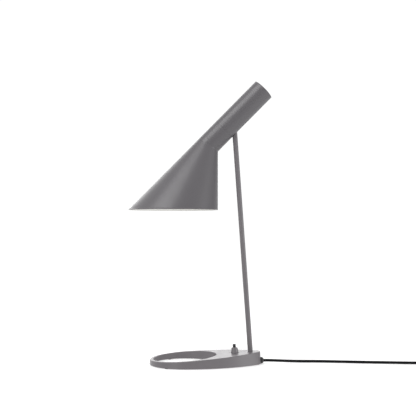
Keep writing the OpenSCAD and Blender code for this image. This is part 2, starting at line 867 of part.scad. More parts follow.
// A section of the coil, grown by a margin, with its corners taken off as the turns leave them
module coil_section(grow) {
    low = coil_in - grow;
    high = coil_out + grow;
    top = coil_h + grow;
    cut = coil_corner;
    polygon([[low + cut, -grow], [high - cut, -grow], [high, cut - grow], [high, top - cut],
        [high - cut, top], [low + cut, top], [low, top - cut], [low, cut - grow]]);
}

module power_cord_coil() {
    color("#2b2b2d") translate(coil_at) rotate_extrude() coil_section(0);
}

// The strap round the coil, on its side away from the run
module cord_tie() {
    color("#2b2b2d") translate(coil_at) rotate([0, 0, -40]) intersection() {
        rotate_extrude() difference() {
            coil_section(tie_gap + tie_t);
            coil_section(tie_gap);
        }
        translate([0, -tie_w / 2, -coil_lift]) cube([2 * coil_out, tie_w, 2 * coil_h]);
    }
}

module power_cord_tail() {
    color("#2b2b2d") swept(smooth(tail_points, 2), cord_r, 10);
}

// A flat two-pin plug lying on the table, with its strain relief towards the coil
module plug_body() {
    color("#2b2b2d") translate(plug_at) difference() {
        union() {
            rotate([0, 90, 0]) cylinder(h = relief_len, r1 = relief_r1, r2 = relief_r2);
            translate([relief_len - plug_neck, 0, -plug_h / 2]) linear_extrude(height = plug_h) polygon([
                [0, -6.5], [8, -13], [12, -plug_w / 2], [plug_len, -plug_w / 2],
                [plug_len + 2, -plug_w / 2 + 4], [plug_len + 2, plug_w / 2 - 4],
                [plug_len, plug_w / 2], [12, plug_w / 2], [8, 13], [0, 6.5]]);
        }
        for (s = [-1, 1]) translate([plug_pin_at, s * pin_pitch / 2, 0]) rotate([0, 90, 0])
            cylinder(h = plug_len, r = plug_pin_r + snug);
    }
}

module plug_pins() {
    color("#c9c9cc") translate(plug_at) for (s = [-1, 1])
        translate([plug_pin_at, s * pin_pitch / 2, 0]) rotate([0, 90, 0]) {
            cylinder(h = plug_pin_len, r = plug_pin_r);
            translate([0, 0, plug_pin_len])
                cylinder(h = plug_pin_tip, r1 = plug_pin_r, r2 = plug_pin_r - 0.8);
        }
}

base_casting();
bottom_cover();
cover_screws();
foot_pads();
stem_tube();
stem_washer();
stem_nut();
tilt_knuckle();
stem_lead();
switch_collar();
switch_body();
switch_base();
switch_spring();
switch_button();
switch_leads();
terminal_block();
terminal_screws();
cord_clamp();
clamp_screws();
cord_gland();
base_lead();
shade_cone();
shade_neck();
head_tube();
tube_end_cap();
hinge_yoke();
yoke_rivets();
pivot_pin();
pivot_nut();
friction_washers();
holder_plate();
holder_nipple();
holder_nuts();
lamp_holder();
holder_shell();
holder_contact();
head_lead();
bulb_cap();
bulb_glass();
power_cord_run();
power_cord_coil();
power_cord_tail();
cord_tie();
plug_body();
plug_pins();
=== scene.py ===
# %% [markdown]
# # A desk lamp, piece by piece
# The lamp is satin grey painted metal: a cone and a tube that meet on an oval crease, a thin leaning stem and
# a ring-shaped base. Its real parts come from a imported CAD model, which is loaded first and never moved. Each
# cell below makes one piece or one finish on top of that frame, in metres, and says why it is made that way.

# %% Load the frame
import json
from math import atan, cos, pi, radians, sin, sqrt, tan

import bmesh
import bpy
from mathutils import Matrix, Vector


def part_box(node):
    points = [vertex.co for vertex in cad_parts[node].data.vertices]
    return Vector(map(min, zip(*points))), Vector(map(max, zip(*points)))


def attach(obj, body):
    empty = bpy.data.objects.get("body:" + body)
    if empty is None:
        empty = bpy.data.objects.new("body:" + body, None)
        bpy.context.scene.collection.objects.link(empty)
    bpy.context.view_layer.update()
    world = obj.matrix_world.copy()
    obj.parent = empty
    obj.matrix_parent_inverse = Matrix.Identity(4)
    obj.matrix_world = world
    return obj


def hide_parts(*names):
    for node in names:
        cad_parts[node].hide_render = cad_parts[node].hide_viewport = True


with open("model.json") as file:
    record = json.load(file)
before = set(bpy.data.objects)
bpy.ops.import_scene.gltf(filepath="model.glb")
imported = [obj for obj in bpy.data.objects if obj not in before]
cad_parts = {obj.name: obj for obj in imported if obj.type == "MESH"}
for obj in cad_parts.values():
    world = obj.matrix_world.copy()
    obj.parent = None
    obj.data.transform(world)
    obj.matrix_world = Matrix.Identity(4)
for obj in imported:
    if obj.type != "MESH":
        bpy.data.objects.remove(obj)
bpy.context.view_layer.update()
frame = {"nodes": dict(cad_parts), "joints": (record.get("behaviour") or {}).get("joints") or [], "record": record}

record = frame["record"]
slot_of = {part["node"]: part["material_slot"] for part in record["subparts"]}
joint_of = {joint["name"]: joint for joint in frame["joints"]}
MM = 0.001

# %% [markdown]
# ## The camera
# The lamp is seen from the side, from about half its height and a good way off, so that its upright lines
# stay nearly parallel. A 70 mm lens at 1.6 m gives that. The camera looks very slightly up, because the lamp
# is taller than the camera is high, and turning it is better than shifting the lens: other views then keep a
# plain lens.

# %% Camera
CAMERA_AT = Vector((0.01585, -1.6056, 0.2658))
CAMERA_UP_DEG = 1.51
LENS_MM = 70.0

camera = bpy.data.objects.new("camera", bpy.data.cameras.new("camera"))
bpy.context.scene.collection.objects.link(camera)
camera.location = CAMERA_AT
camera.rotation_euler = (radians(90 + CAMERA_UP_DEG), 0, 0)
camera.data.lens = LENS_MM
camera.data.sensor_width = 36
camera.data.clip_end = 50
bpy.context.scene.camera = camera
print("camera at", tuple(round(x, 3) for x in CAMERA_AT))

# %% [markdown]
# ## Small helpers for meshes
# Nearly every piece here is a skin stretched over rows of points: a turned part repeats one profile round an
# axis, and the base and the shade repeat a cross-section along an outline. One function that joins such rows
# is enough. A row with a single point closes a pole, and looping the last row back to the first makes a wall
# with thickness.

# %% Skin over rows of points
def skin(name, rows, loop=False):
    """A closed mesh over rows of points. Each row is a closed ring, or one point at a pole."""
    points, starts = [], []
    for row in rows:
        starts.append(len(points))
        points.extend(row)
    pairs = list(zip(range(len(rows)), range(1, len(rows))))
    if loop:
        pairs.append((len(rows) - 1, 0))
    faces = []
    for low, high in pairs:
        n, m = len(rows[low]), len(rows[high])
        for i in range(max(n, m)):
            j = (i + 1) % max(n, m)
            face = [starts[low] + i % n, starts[low] + j % n, starts[high] + j % m, starts[high] + i % m]
            faces.append(list(dict.fromkeys(face)))
    mesh = bpy.data.meshes.new(name)
    mesh.from_pydata([tuple(p) for p in points], [], faces)
    shape = bmesh.new()
    shape.from_mesh(mesh)
    if shape.calc_volume(signed=True) < 0:
        bmesh.ops.reverse_faces(shape, faces=shape.faces)
    shape.to_mesh(mesh)
    shape.free()
    piece = bpy.data.objects.new(name, mesh)
    bpy.context.scene.collection.objects.link(piece)
    return piece


def ring_at(radius, height, turns=96):
    """A level circle of points, or one point where the radius is nothing."""
    if radius < 1e-7:
        return [Vector((0, 0, height))]
    steps = [2 * pi * i / turns for i in range(turns)]
    return [Vector((radius * cos(a), radius * sin(a), height)) for a in steps]


def turned(name, profile, place, loop=False, turns=96):
    """A turned part: a profile of (radius, height) round the Z axis, put in place by a matrix."""
    rows = [[place @ p for p in ring_at(radius, height, turns)] for radius, height in profile]
    return skin(name, rows, loop)


def rounded(corners, radius, steps=5, closed=False):
    """A profile with its corners rounded. radius is one number, or one for each corner."""
    count = len(corners)
    radii = radius if isinstance(radius, (list, tuple)) else [radius] * count
    out = []
    for i, corner in enumerate(corners):
        if radii[i] == 0 or (not closed and i in (0, count - 1)):
            out.append(tuple(corner))
            continue
        here = Vector(corner)
        before, after = Vector(corners[i - 1]), Vector(corners[(i + 1) % count])
        start = here + (before - here).normalized() * min(radii[i], (before - here).length / 2)
        end = here + (after - here).normalized() * min(radii[i], (after - here).length / 2)
        for k in range(steps + 1):
            t = k / steps
            out.append(tuple(start * (1 - t) ** 2 + here * 2 * t * (1 - t) + end * t * t))
    return out


def soften(piece, sharp_deg=35):
    """Smooth shading that keeps flat faces flat and real corners crisp."""
    for face in piece.data.polygons:
        face.use_smooth = True
    piece.data.set_sharp_from_angle(angle=radians(sharp_deg))
    normals = piece.modifiers.new("normals", "WEIGHTED_NORMAL")
    normals.keep_sharp = True
    return piece


def hand_over(piece, body, slot, *nodes, look=None):
    """Gives a finished piece its finish if it has none, puts it under its body's empty, and hides the CAD nodes it
    stands for.
    """
    if not piece.data.materials:
        piece.data.materials.append(finishes[look or slot])
    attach(piece, body)
    if nodes:
        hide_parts(*nodes)
    print(f"{piece.name}: {len(piece.data.polygons)} faces, rides on {body}")
    return piece

# %% [markdown]
# ## Cutting one mesh with another
# Slots, pockets and drilled holes are cuts. A Boolean modifier makes them, its result is kept as a plain
# mesh, and the cutter is thrown away, so that nothing live is left on the piece.

# %% Cut
def plain_copy(piece):
    """The piece's mesh as its modifiers leave it."""
    graph = bpy.context.evaluated_depsgraph_get()
    graph.update()
    return bpy.data.meshes.new_from_object(piece.evaluated_get(graph), depsgraph=graph)


def drop(piece):
    mesh = piece.data
    bpy.data.objects.remove(piece)
    if mesh.users == 0:
        bpy.data.meshes.remove(mesh)


def keep_result(piece):
    """Puts the modifiers' result into the piece and takes the modifiers off."""
    result = plain_copy(piece)
    piece.modifiers.clear()
    old, piece.data = piece.data, result
    result.name = piece.name
    bpy.data.meshes.remove(old)
    return piece


def cut(piece, *cutters):
    for cutter in cutters:
        boolean = piece.modifiers.new("cut", "BOOLEAN")
        boolean.operation = "DIFFERENCE"
        boolean.solver = "EXACT"
        boolean.object = cutter
        keep_result(piece)
        drop(cutter)
    return piece

# %% [markdown]
# ## Helpers for node trees
# Geometry Nodes, shared shader effects, materials and the room's light are all node trees. A tree that others
# use needs named sockets, so one function starts it. Each node needs its settings, some plain values and some
# links, so another function takes all three. The settings come first, because they decide which sockets a
# node has.

# %% Start a tree, add a node
def start_tree(name, kind, inputs, outputs):
    """A tree with named inputs (label, type, value) and outputs (label, type), and what its inputs give."""
    tree = bpy.data.node_groups.new(name, kind)
    for label, socket_type, value in inputs:
        socket = tree.interface.new_socket(label, in_out="INPUT", socket_type="NodeSocket" + socket_type)
        if value is not None:
            socket.default_value = value
    for label, socket_type in outputs:
        tree.interface.new_socket(label, in_out="OUTPUT", socket_type="NodeSocket" + socket_type)
    return tree, tree.nodes.new("NodeGroupInput").outputs


def add_node(tree, kind, inputs=None, **settings):
    """Adds a node. inputs gives each socket, by name or number, a plain value or an output to link from."""
    made = tree.nodes.new(kind)
    for name, value in settings.items():
        setattr(made, name, value)
    for socket, value in (inputs or {}).items():
        if isinstance(value, bpy.types.NodeSocket):
            tree.links.new(value, made.inputs[socket])
        else:
            made.inputs[socket].default_value = value
    return made

# %% [markdown]
# ## Geometry Nodes for what repeats or follows a path
# Two small trees do that work. One sweeps a round section along a route, for the cord. The other puts a copy
# of a piece on each point, for the screws and the foot pads. Both end in Realize Instances and Set Material,
# and their result is kept as a plain mesh. The inputs are named, and are set by their sockets' identifiers.

# %% Node trees for sweeping and placing
def start_geometry(name, inputs):
    """A tree that takes and gives geometry, with a Material input after its own."""
    inputs = [("Geometry", "Geometry", None), *inputs, ("Material", "Material", None)]
    return start_tree(name, "GeometryNodeTree", inputs, [("Geometry", "Geometry")])


def end_tree(tree, source, given):
    """Realize Instances and Set Material, then out."""
    real = add_node(tree, "GeometryNodeRealizeInstances", {"Geometry": source})
    covered = add_node(tree, "GeometryNodeSetMaterial",
                       {"Geometry": real.outputs["Geometry"], "Material": given["Material"]})
    add_node(tree, "NodeGroupOutput", {"Geometry": covered.outputs["Geometry"]})
    return tree


def sweep_tree():
    tree, given = start_geometry("sweep along a route", [("Radius", "Float", 0.0027), ("Sides", "Int", 16)])
    line = add_node(tree, "GeometryNodeMeshToCurve", {"Mesh": given["Geometry"]})
    section = add_node(tree, "GeometryNodeCurvePrimitiveCircle",
                       {"Radius": given["Radius"], "Resolution": given["Sides"]})
    tube = add_node(tree, "GeometryNodeCurveToMesh", {
        "Curve": line.outputs["Curve"], "Profile Curve": section.outputs["Curve"], "Fill Caps": True})
    return end_tree(tree, tube.outputs["Mesh"], given)


def place_tree():
    tree, given = start_geometry("a copy on each point", [("Piece", "Object", None)])
    piece = add_node(tree, "GeometryNodeObjectInfo", {"Object": given["Piece"]})
    copies = add_node(tree, "GeometryNodeInstanceOnPoints",
                      {"Points": given["Geometry"], "Instance": piece.outputs["Geometry"]})
    return end_tree(tree, copies.outputs["Instances"], given)


SWEEP, PLACE = sweep_tree(), place_tree()


def run_tree(name, tree, points, edges, values):
    """Runs a tree on a few points and edges, and keeps the result as a plain mesh."""
    mesh = bpy.data.meshes.new(name)
    mesh.from_pydata([tuple(p) for p in points], edges, [])
    piece = bpy.data.objects.new(name, mesh)
    bpy.context.scene.collection.objects.link(piece)
    nodes = piece.modifiers.new(tree.name, "NODES")
    nodes.node_group = tree
    for item in tree.interface.items_tree:
        if item.in_out == "INPUT" and item.name in values:
            nodes[item.identifier] = values[item.name]
    return keep_result(piece)


def swept(name, route, radius, sides, material):
    edges = [(i, i + 1) for i in range(len(route) - 1)]
    return run_tree(name, SWEEP, route, edges, {"Radius": radius, "Sides": sides, "Material": material})


def placed(name, points, model, material):
    piece = run_tree(name, PLACE, points, [], {"Piece": model, "Material": material})
    drop(model)
    return piece


print("trees:", SWEEP.name, "and", PLACE.name)

# %% [markdown]
# ## Shared effects as node groups
# Real paint, plastic and plated metal are never one flat colour. Powder coat has a fine orange-peel skin and
# drifts a little in tone, and handling leaves soft patches that are a touch rougher. Two groups make those
# effects from noise on Object coordinates, and every material places them with its own values. Numbers that
# stay the same all over a surface are set on the shader itself.

# %% Groups for tone and grain
def tone_group():
    """A colour that drifts slowly between two near shades, and a roughness with soft patches."""
    group, given = start_tree("tone", "ShaderNodeTree", [
        ("Colour", "Color", (0.5, 0.5, 0.5, 1)), ("Other colour", "Color", (0.45, 0.45, 0.45, 1)),
        ("Patch scale", "Float", 14.0), ("Least roughness", "Float", 0.3), ("Most roughness", "Float", 0.4),
    ], [("Colour", "Color"), ("Roughness", "Float")])
    place = add_node(group, "ShaderNodeTexCoord").outputs["Object"]
    slow = add_node(group, "ShaderNodeTexNoise", {"Vector": place, "Scale": given["Patch scale"], "Detail": 3})
    finer = add_node(group, "ShaderNodeMath", {0: given["Patch scale"], 1: 5}, operation="MULTIPLY")
    fast = add_node(group, "ShaderNodeTexNoise",
                    {"Vector": place, "Scale": finer.outputs[0], "Detail": 5, "Roughness": 0.6})
    shade = add_node(group, "ShaderNodeMix", {
        "Factor": slow.outputs["Fac"], "A": given["Colour"], "B": given["Other colour"]}, data_type="RGBA")
    spread = add_node(group, "ShaderNodeMapRange", {
        "Value": fast.outputs["Fac"], "From Min": 0.3, "From Max": 0.7,
        "To Min": given["Least roughness"], "To Max": given["Most roughness"]})
    add_node(group, "NodeGroupOutput",
             {"Colour": shade.outputs["Result"], "Roughness": spread.outputs["Result"]})
    return group


def grain_group():
    """A height for the Bump node: fine grain over a slower ripple."""
    group, given = start_tree("grain", "ShaderNodeTree", [
        ("Grain scale", "Float", 1500.0), ("Ripple scale", "Float", 260.0), ("Ripple share", "Float", 0.5),
    ], [("Height", "Float")])
    place = add_node(group, "ShaderNodeTexCoord").outputs["Object"]
    fine = add_node(group, "ShaderNodeTexNoise", {"Vector": place, "Scale": given["Grain scale"], "Detail": 2})
    slow = add_node(group, "ShaderNodeTexNoise", {"Vector": place, "Scale": given["Ripple scale"], "Detail": 1})
    both = add_node(group, "ShaderNodeMix", {
        "Factor": given["Ripple share"], "A": fine.outputs["Fac"], "B": slow.outputs["Fac"]})
    add_node(group, "NodeGroupOutput", {"Height": both.outputs["Result"]})
    return group


TONE, GRAIN = tone_group(), grain_group()
print("groups:", TONE.name, "and", GRAIN.name)

# %% [markdown]
# ## The finishes
# Every material is a Principled shader fed by the two groups. What differs is the colour pair, the range of
# roughness, the size of the grain and a few plain numbers such as how metallic the surface is. The grey paint
# is a warm neutral, satin, and a little mirror-like at low angles, as powder coat is. The casting and the
# stem have the same grey paint as the head, but get a lighter copy of it: painted light, for the light that
# falls and bounces onto them.

# %% Material maker
def finish(name, colour, other, rough, grain, bump, patch=14.0, share=0.5, **sockets):
    """A Principled material. bump is (strength, distance in metres); sockets are plain numbers or colours."""
    material = bpy.data.materials.new(name)
    material.use_nodes = True
    tree = material.node_tree
    tone = add_node(tree, "ShaderNodeGroup", {
        "Colour": (*colour, 1), "Other colour": (*other, 1), "Patch scale": patch,
        "Least roughness": rough[0], "Most roughness": rough[1]}, node_tree=TONE)
    texture = add_node(tree, "ShaderNodeGroup", {
        "Grain scale": grain[0], "Ripple scale": grain[1], "Ripple share": share}, node_tree=GRAIN)
    relief = add_node(tree, "ShaderNodeBump", {
        "Strength": bump[0], "Distance": bump[1], "Height": texture.outputs["Height"]})
    shader = tree.nodes["Principled BSDF"]
    tree.links.new(tone.outputs["Colour"], shader.inputs["Base Color"])
    tree.links.new(tone.outputs["Roughness"], shader.inputs["Roughness"])
    tree.links.new(relief.outputs["Normal"], shader.inputs["Normal"])
    for socket, value in sockets.items():
        shader.inputs[socket.replace("_", " ")].default_value = value
    return material

# %% [markdown]
# ## Paint, plastic, rubber and metal
# The paints share one recipe and differ in shade. The inside of the shade is white, so that it throws the
# light down. Black pieces are kept a little above black, because even soot reflects some light.

# %% Materials by slot
METAL = {"Metallic": 1.0}
finishes = {
    "grey_paint": finish("grey paint", (0.128, 0.122, 0.131), (0.137, 0.13, 0.139), (0.33, 0.4),
                         (1900, 420), (0.12, 0.00012), patch=9, share=0.55, IOR=1.5),
    # The casting and the stem have the head's grey paint; this lighter copy of it is painted light.
    "grey_with_painted_light": finish("paint on the casting and stem", (0.182, 0.17, 0.18), (0.195, 0.182, 0.193),
                         (0.33, 0.42), (1700, 380), (0.14, 0.00012), patch=11, share=0.55, IOR=1.5),
    # The switch collar has the lamp's grey paint too; this much lighter copy of it is painted light.
    "dark_grey_paint": finish("collar paint", (0.235, 0.22, 0.232), (0.25, 0.235, 0.247), (0.26, 0.34),
                              (1900, 420), (0.2, 0.00012), patch=12, share=0.55, IOR=1.5),
    "white_paint": finish("white paint", (0.86, 0.85, 0.82), (0.83, 0.82, 0.79), (0.38, 0.48),
                          (1700, 400), (0.14, 0.00012), patch=10, share=0.5, IOR=1.5),
    "zinc_steel": finish("zinc plated steel", (0.6, 0.6, 0.62), (0.53, 0.54, 0.57), (0.26, 0.42),
                         (2400, 700), (0.2, 0.0001), patch=60, **METAL),
    "brass": finish("brass", (0.76, 0.54, 0.2), (0.68, 0.46, 0.17), (0.24, 0.4),
                    (2400, 700), (0.2, 0.0001), patch=60, **METAL),
    "nickel": finish("nickel plate", (0.72, 0.7, 0.66), (0.66, 0.64, 0.6), (0.16, 0.28),
                     (2600, 800), (0.12, 0.0001), patch=70, **METAL),
    "black_plastic": finish("black plastic", (0.026, 0.026, 0.028), (0.034, 0.034, 0.036), (0.3, 0.42),
                            (2600, 900), (0.25, 0.0001), patch=40, IOR=1.46),
    "black_cord": finish("cord sheath", (0.006, 0.006, 0.007), (0.009, 0.009, 0.01), (0.46, 0.58),
                         (1600, 300), (0.22, 0.00015), patch=30, IOR=1.35, Specular_IOR_Level=0.2),
    "black_rubber": finish("black rubber", (0.02, 0.02, 0.021), (0.03, 0.03, 0.031), (0.6, 0.8),
                           (2200, 600), (0.5, 0.0002), patch=60, IOR=1.5),
    "white_lead": finish("lead sheath", (0.72, 0.71, 0.68), (0.67, 0.66, 0.62), (0.36, 0.5),
                         (1800, 400), (0.2, 0.00012), patch=50, IOR=1.5),
    "white_plastic": finish("white plastic", (0.74, 0.73, 0.68), (0.69, 0.68, 0.63), (0.36, 0.5),
                            (2200, 700), (0.25, 0.0001), patch=50, IOR=1.48),
    "white_ceramic": finish("glazed ceramic", (0.78, 0.77, 0.73), (0.72, 0.71, 0.66), (0.12, 0.24),
                            (900, 200), (0.12, 0.0002), patch=40, share=0.8, IOR=1.55),
    "brown_board": finish("pressed board", (0.2, 0.085, 0.045), (0.14, 0.06, 0.03), (0.55, 0.75),
                          (1500, 300), (0.5, 0.0002), patch=120, IOR=1.5),
    "opal_glass": finish("opal glass", (0.86, 0.85, 0.82), (0.82, 0.81, 0.78), (0.2, 0.3),
                         (1200, 160), (0.05, 0.0002), patch=20, share=0.8, IOR=1.5),
}
for node, part in frame["nodes"].items():
    part.data.materials.clear()
    part.data.materials.append(finishes[slot_of[node]])
print(len(finishes), "finishes, and every CAD node has one")

# %% [markdown]
# ## The mains cord
# The cord is one length of round flexible lead. It comes straight out of the base, sinks to the table and
# runs away in one slow curve. What isn't in view is wound into a flat round coil, and ends in a plug beside
# it. Its route is a list of points, joined by a smooth curve; the coil's turns are worked out by a loop.

# %% The cord's route
CORD_D = 5.4 * MM
RUN_MM = [(125.2, 0, 7.3), (137, 0, 7.2), (153, 2, 6.4), (171, 8, 4.8), (191, 14, 3.4), (213, 17, 2.7),
          (241, 16, 2.7), (276, 12, 2.7), (321, 6, 2.7), (371, 1, 2.7), (416, -3, 2.7), (446, -5, 2.9),
          (476, -5, 3.5)]
TAIL_MM = [(476, -5, 8.9), (489, -5, 8.3), (505, -5, 6.6), (519, -5, 5.6), (533, -5, 6.4), (540, -5, 7),
           (545, -5, 7)]
PLUG_AT = Vector((545.1, -5, 7)) * MM


def curve_through(points_mm, steps):
    """A smooth line through every point, in metres (Catmull-Rom)."""
    points = [Vector(p) * MM for p in points_mm]
    last = len(points) - 1
    line = []
    for i in range(last):
        a, b = points[max(i - 1, 0)], points[i]
        c, d = points[i + 1], points[min(i + 2, last)]
        for k in range(steps):
            t = k / steps
            line.append(0.5 * (2 * b + (c - a) * t + (2 * a - 5 * b + 4 * c - d) * t * t
                               + (3 * b - a - 3 * c + d) * t * t * t))
    return line + [points[last]]


def eased(t):
    t = min(max(t, 0), 1)
    return t * t * (3 - 2 * t)


run_line = curve_through(RUN_MM, 5)
tail_line = curve_through(TAIL_MM, 4)
print(f"run {sum((b - a).length for a, b in zip(run_line, run_line[1:])):.3f} m")

# %% [markdown]
# ### Winding the coil
# The turns lie side by side in two layers. The first layer is wound inwards and the second comes back out.
# Where a turn moves over to the next place, its neighbours must move at the same angle or have moved already,
# so the later moves come earlier in the turn: outward moves first, then the climb, then the inward moves.

# %% The coil's turns
COIL_R = 32 * MM
COIL_WIDE = 4
TURN_STEPS = 48
outer_place = (COIL_WIDE - 1) / 2
coil_centre = run_line[-1] - Vector((0, COIL_R + outer_place * CORD_D, 0))

# Each turn: the place it starts in, counted in cord widths from the middle, and its layer
inward = [(outer_place - k, 0) for k in range(COIL_WIDE)]
outward = [(-outer_place + k, 1) for k in range(COIL_WIDE)]
places = inward + outward
# The share of the turn at which each kind of move starts and ends
MOVES = {"in": (0.82, 1.0), "up": (0.62, 0.82), "out": (0.42, 0.62)}

coil_line = []
for (place, layer), (next_place, next_layer) in zip(places, places[1:]):
    kind = "up" if next_layer > layer else "in" if next_place < place else "out"
    begin, done = MOVES[kind]
    for step in range(TURN_STEPS):
        share = step / TURN_STEPS
        moved = eased((share - begin) / (done - begin))
        radius = COIL_R + CORD_D * (place + (next_place - place) * moved)
        height = CORD_D * (0.5 + layer + (next_layer - layer) * moved)
        angle = pi / 2 - 2 * pi * share
        coil_line.append(coil_centre + Vector((radius * cos(angle), radius * sin(angle), height - CORD_D / 2)))
cord_line = run_line[:-1] + coil_line + tail_line
CORD_LENGTH = sum((b - a).length for a, b in zip(cord_line, cord_line[1:]))
print(f"cord {CORD_LENGTH:.3f} m with {len(places) - 1} turns, {len(cord_line)} points")

# %% Sweep the cord
cord = swept("mains_cord", cord_line, CORD_D / 2, 20, finishes["black_cord"])
for face in cord.data.polygons:
    face.use_smooth = True
hand_over(cord, "stand", "black_cord", "power_cord_run", "power_cord_coil", "power_cord_tail")

# %% [markdown]
# ### The tie round the coil
# A reusable strap holds the turns together. It hugs the bundle's rounded section, keeps its width as the
# bundle curves, and its end laps over on top. It is one skin of small rounded rectangles along that path.

# %% Tie
TIE_ANGLE, TIE_W, TIE_T, TIE_GAP = radians(-40), 9 * MM, 0.7 * MM, 0.05 * MM
TIE_LAP = 11 * MM
half_across, half_up = (COIL_WIDE - 1) / 2 * CORD_D, CORD_D / 2
bundle_z = run_line[-1].z + half_up


def strap_path(offset, count=10):
    """The bundle's outline (across, up) and the way it faces, once round and over its own start."""
    reach = half_up + offset
    path = [(-0.8 * half_across, half_up + reach, 0.0, 1.0)]
    # The corners: the top layer is one turn short at its outer end, so the strap slants down there
    for cx, cy, start, end in ((half_across - CORD_D, half_up, 90, 45), (half_across, -half_up, 45, -90),
                               (-half_across, -half_up, -90, -180), (-half_across, half_up, -180, -270)):
        for i in range(count + 1):
            a = radians(start + (end - start) * i / count)
            path.append((cx + reach * cos(a), cy + reach * sin(a), cos(a), sin(a)))
    lap_steps = 8
    for i in range(lap_steps + 1):
        share = i / lap_steps
        rise = (TIE_T + TIE_GAP) * eased(share * 3)
        path.append((-half_across + share * TIE_LAP, half_up + reach + rise, 0.0, 1.0))
    return path


def on_bundle(across, up, along):
    """A point at this distance across, up and along the bundle, from its middle at the tie's place."""
    out = COIL_R + across
    angle = TIE_ANGLE + along / out
    return Vector((coil_centre.x + out * cos(angle), coil_centre.y + out * sin(angle), bundle_z + up))


tie_corners = [(0, -TIE_W / 2), (TIE_T, -TIE_W / 2), (TIE_T, TIE_W / 2), (0, TIE_W / 2)]
tie_section = rounded(tie_corners, 0.3 * MM, 4, closed=True)
tie_rows = [[on_bundle(x + out * nx, y + out * ny, along) for out, along in tie_section]
            for x, y, nx, ny in strap_path(TIE_GAP)]
middle = sum(tie_rows[0], Vector()) / len(tie_rows[0]), sum(tie_rows[-1], Vector()) / len(tie_rows[-1])
tie = skin("cord_strap", [[middle[0]]] + tie_rows + [[middle[1]]])
hand_over(soften(tie, 60), "stand", "black_plastic", "cord_tie")

# %% [markdown]
# ## The plug
# A flat two-pin plug is moulded in one with its strain relief. Its section is a rounded rectangle that grows
# from the round relief to a wide grip and is cut square at the pins, so it is made as a row of such sections.
# Grooves round the relief let it bend; they come from a ripple in the section's size.

# %% Plug body
RELIEF_LEN, PLUG_LEN = 20 * MM, 52 * MM
PLUG_HALF_W, PLUG_HALF_H, END_ROUND = 17.5 * MM, 7 * MM, 1.2 * MM
RELIEF_END_R, GROOVES, SQUARENESS = 5.4 * MM, 5, 5.5


def box_section(x, half_w, half_h, power, count=64):
    """A ring of points on a rounded rectangle: power 2 is an oval, a higher one is squarer."""
    ring = []
    for i in range(count):
        a = 2 * pi * (i + 0.5) / count
        c, s = cos(a), sin(a)
        y = half_w * abs(c) ** (2 / power) * (1 if c > 0 else -1)
        z = half_h * abs(s) ** (2 / power) * (1 if s > 0 else -1)
        ring.append(PLUG_AT + Vector((x, y, z)))
    return ring


plug_rows = [[PLUG_AT]]
RELIEF_STEPS, BODY_STEPS, END_STEPS = 60, 26, 4
for k in range(RELIEF_STEPS + 1):
    share = k / RELIEF_STEPS
    groove = 0.55 * MM * (0.5 - 0.5 * cos(2 * pi * GROOVES * share)) if 0.1 < share < 0.9 else 0
    size = (4.0 + 1.4 * share) * MM - groove
    plug_rows.append(box_section(share * RELIEF_LEN, size, size, 2))
for k in range(1, BODY_STEPS + 1):
    share = k / BODY_STEPS
    grow = eased(share * 2.2)
    half_w = RELIEF_END_R + (PLUG_HALF_W - RELIEF_END_R) * grow
    half_h = RELIEF_END_R + (PLUG_HALF_H - RELIEF_END_R) * eased(share * 3)
    plug_rows.append(box_section(RELIEF_LEN + share * (PLUG_LEN - RELIEF_LEN - END_ROUND),
                                 half_w, half_h, 2 + (SQUARENESS - 2) * grow))
for k in range(1, END_STEPS + 1):
    turn = k / END_STEPS * pi / 2
    inset = END_ROUND * (1 - cos(turn))
    plug_rows.append(box_section(PLUG_LEN - END_ROUND + END_ROUND * sin(turn), PLUG_HALF_W - inset,
                                 PLUG_HALF_H - inset, SQUARENESS))
plug_rows.append([PLUG_AT + Vector((PLUG_LEN, 0, 0))])
plug = soften(skin("plug", plug_rows))
hand_over(plug, "stand", "black_plastic", "plug_body")

# %% Plug pins
PIN_R, PIN_LEN, PIN_SLEEVE, PIN_PITCH = 2 * MM, 19 * MM, 9.5 * MM, 19 * MM
along_x = Matrix.Rotation(radians(90), 4, "Y")
BARE_R, PIN_INTO = PIN_R - 0.12 * MM, 0.4 * MM
pin_profile = [(0, 0), (PIN_R, 0), (PIN_R, PIN_SLEEVE), (BARE_R, PIN_SLEEVE + 0.1 * MM)] + rounded(
    [(BARE_R, PIN_SLEEVE + 0.2 * MM), (BARE_R, PIN_LEN - 0.5 * MM), (0, PIN_LEN)], 1.4 * MM, 6)
model = turned("pin_model", pin_profile, along_x, turns=32)
pin_ends = [PLUG_AT + Vector((PLUG_LEN - PIN_INTO, side * PIN_PITCH / 2, 0)) for side in (-1, 1)]
pins = placed("pins", pin_ends, model, finishes["nickel"])
pins.data.materials.append(finishes["black_plastic"])
sleeve_end = PLUG_AT.x + PLUG_LEN - PIN_INTO + PIN_SLEEVE
for face in pins.data.polygons:
    face.material_index = 1 if face.center.x < sleeve_end else 0
hand_over(soften(pins, 50), "stand", "nickel", "plug_pins")
tuple(run_line[0])
[tuple(p) for p in cord_line]

# %% [markdown]
# ## The base
# The base is a casting: a round end, two long side curves and a narrow end, each tangent to the next, with a
# big round hole and a top that climbs towards the stem. Its outline is worked out from four radii, as a
# function of the direction that the edge faces. A cross-section runs from that edge to the hole, so the whole
# casting is one skin that closes on itself, with rounded edges and a wall that leans in a little, as a
# casting's does.

# %% Outline of the base
pivot = Vector(joint_of["head_tilt"]["pos_m"])
LEAN = radians(4)
HOLE_X = pivot.x - 97 * MM
HOLE_R, ROUND_R, NOSE_R, SIDE_R, NOSE_X = 62.2 * MM, 69.75 * MM, 22.6 * MM, 215 * MM, 127.8 * MM
TOP_AT_HOLE = 15.2 * MM
BASE_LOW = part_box("base_casting")[0].z
side_c = ((SIDE_R - ROUND_R) ** 2 - (SIDE_R - NOSE_R) ** 2 + NOSE_X ** 2) / (2 * NOSE_X)
side_y = sqrt((SIDE_R - ROUND_R) ** 2 - side_c ** 2)
turn_round = pi / 2 + atan(side_c / side_y)
turn_nose = pi / 2 - atan((NOSE_X - side_c) / side_y)


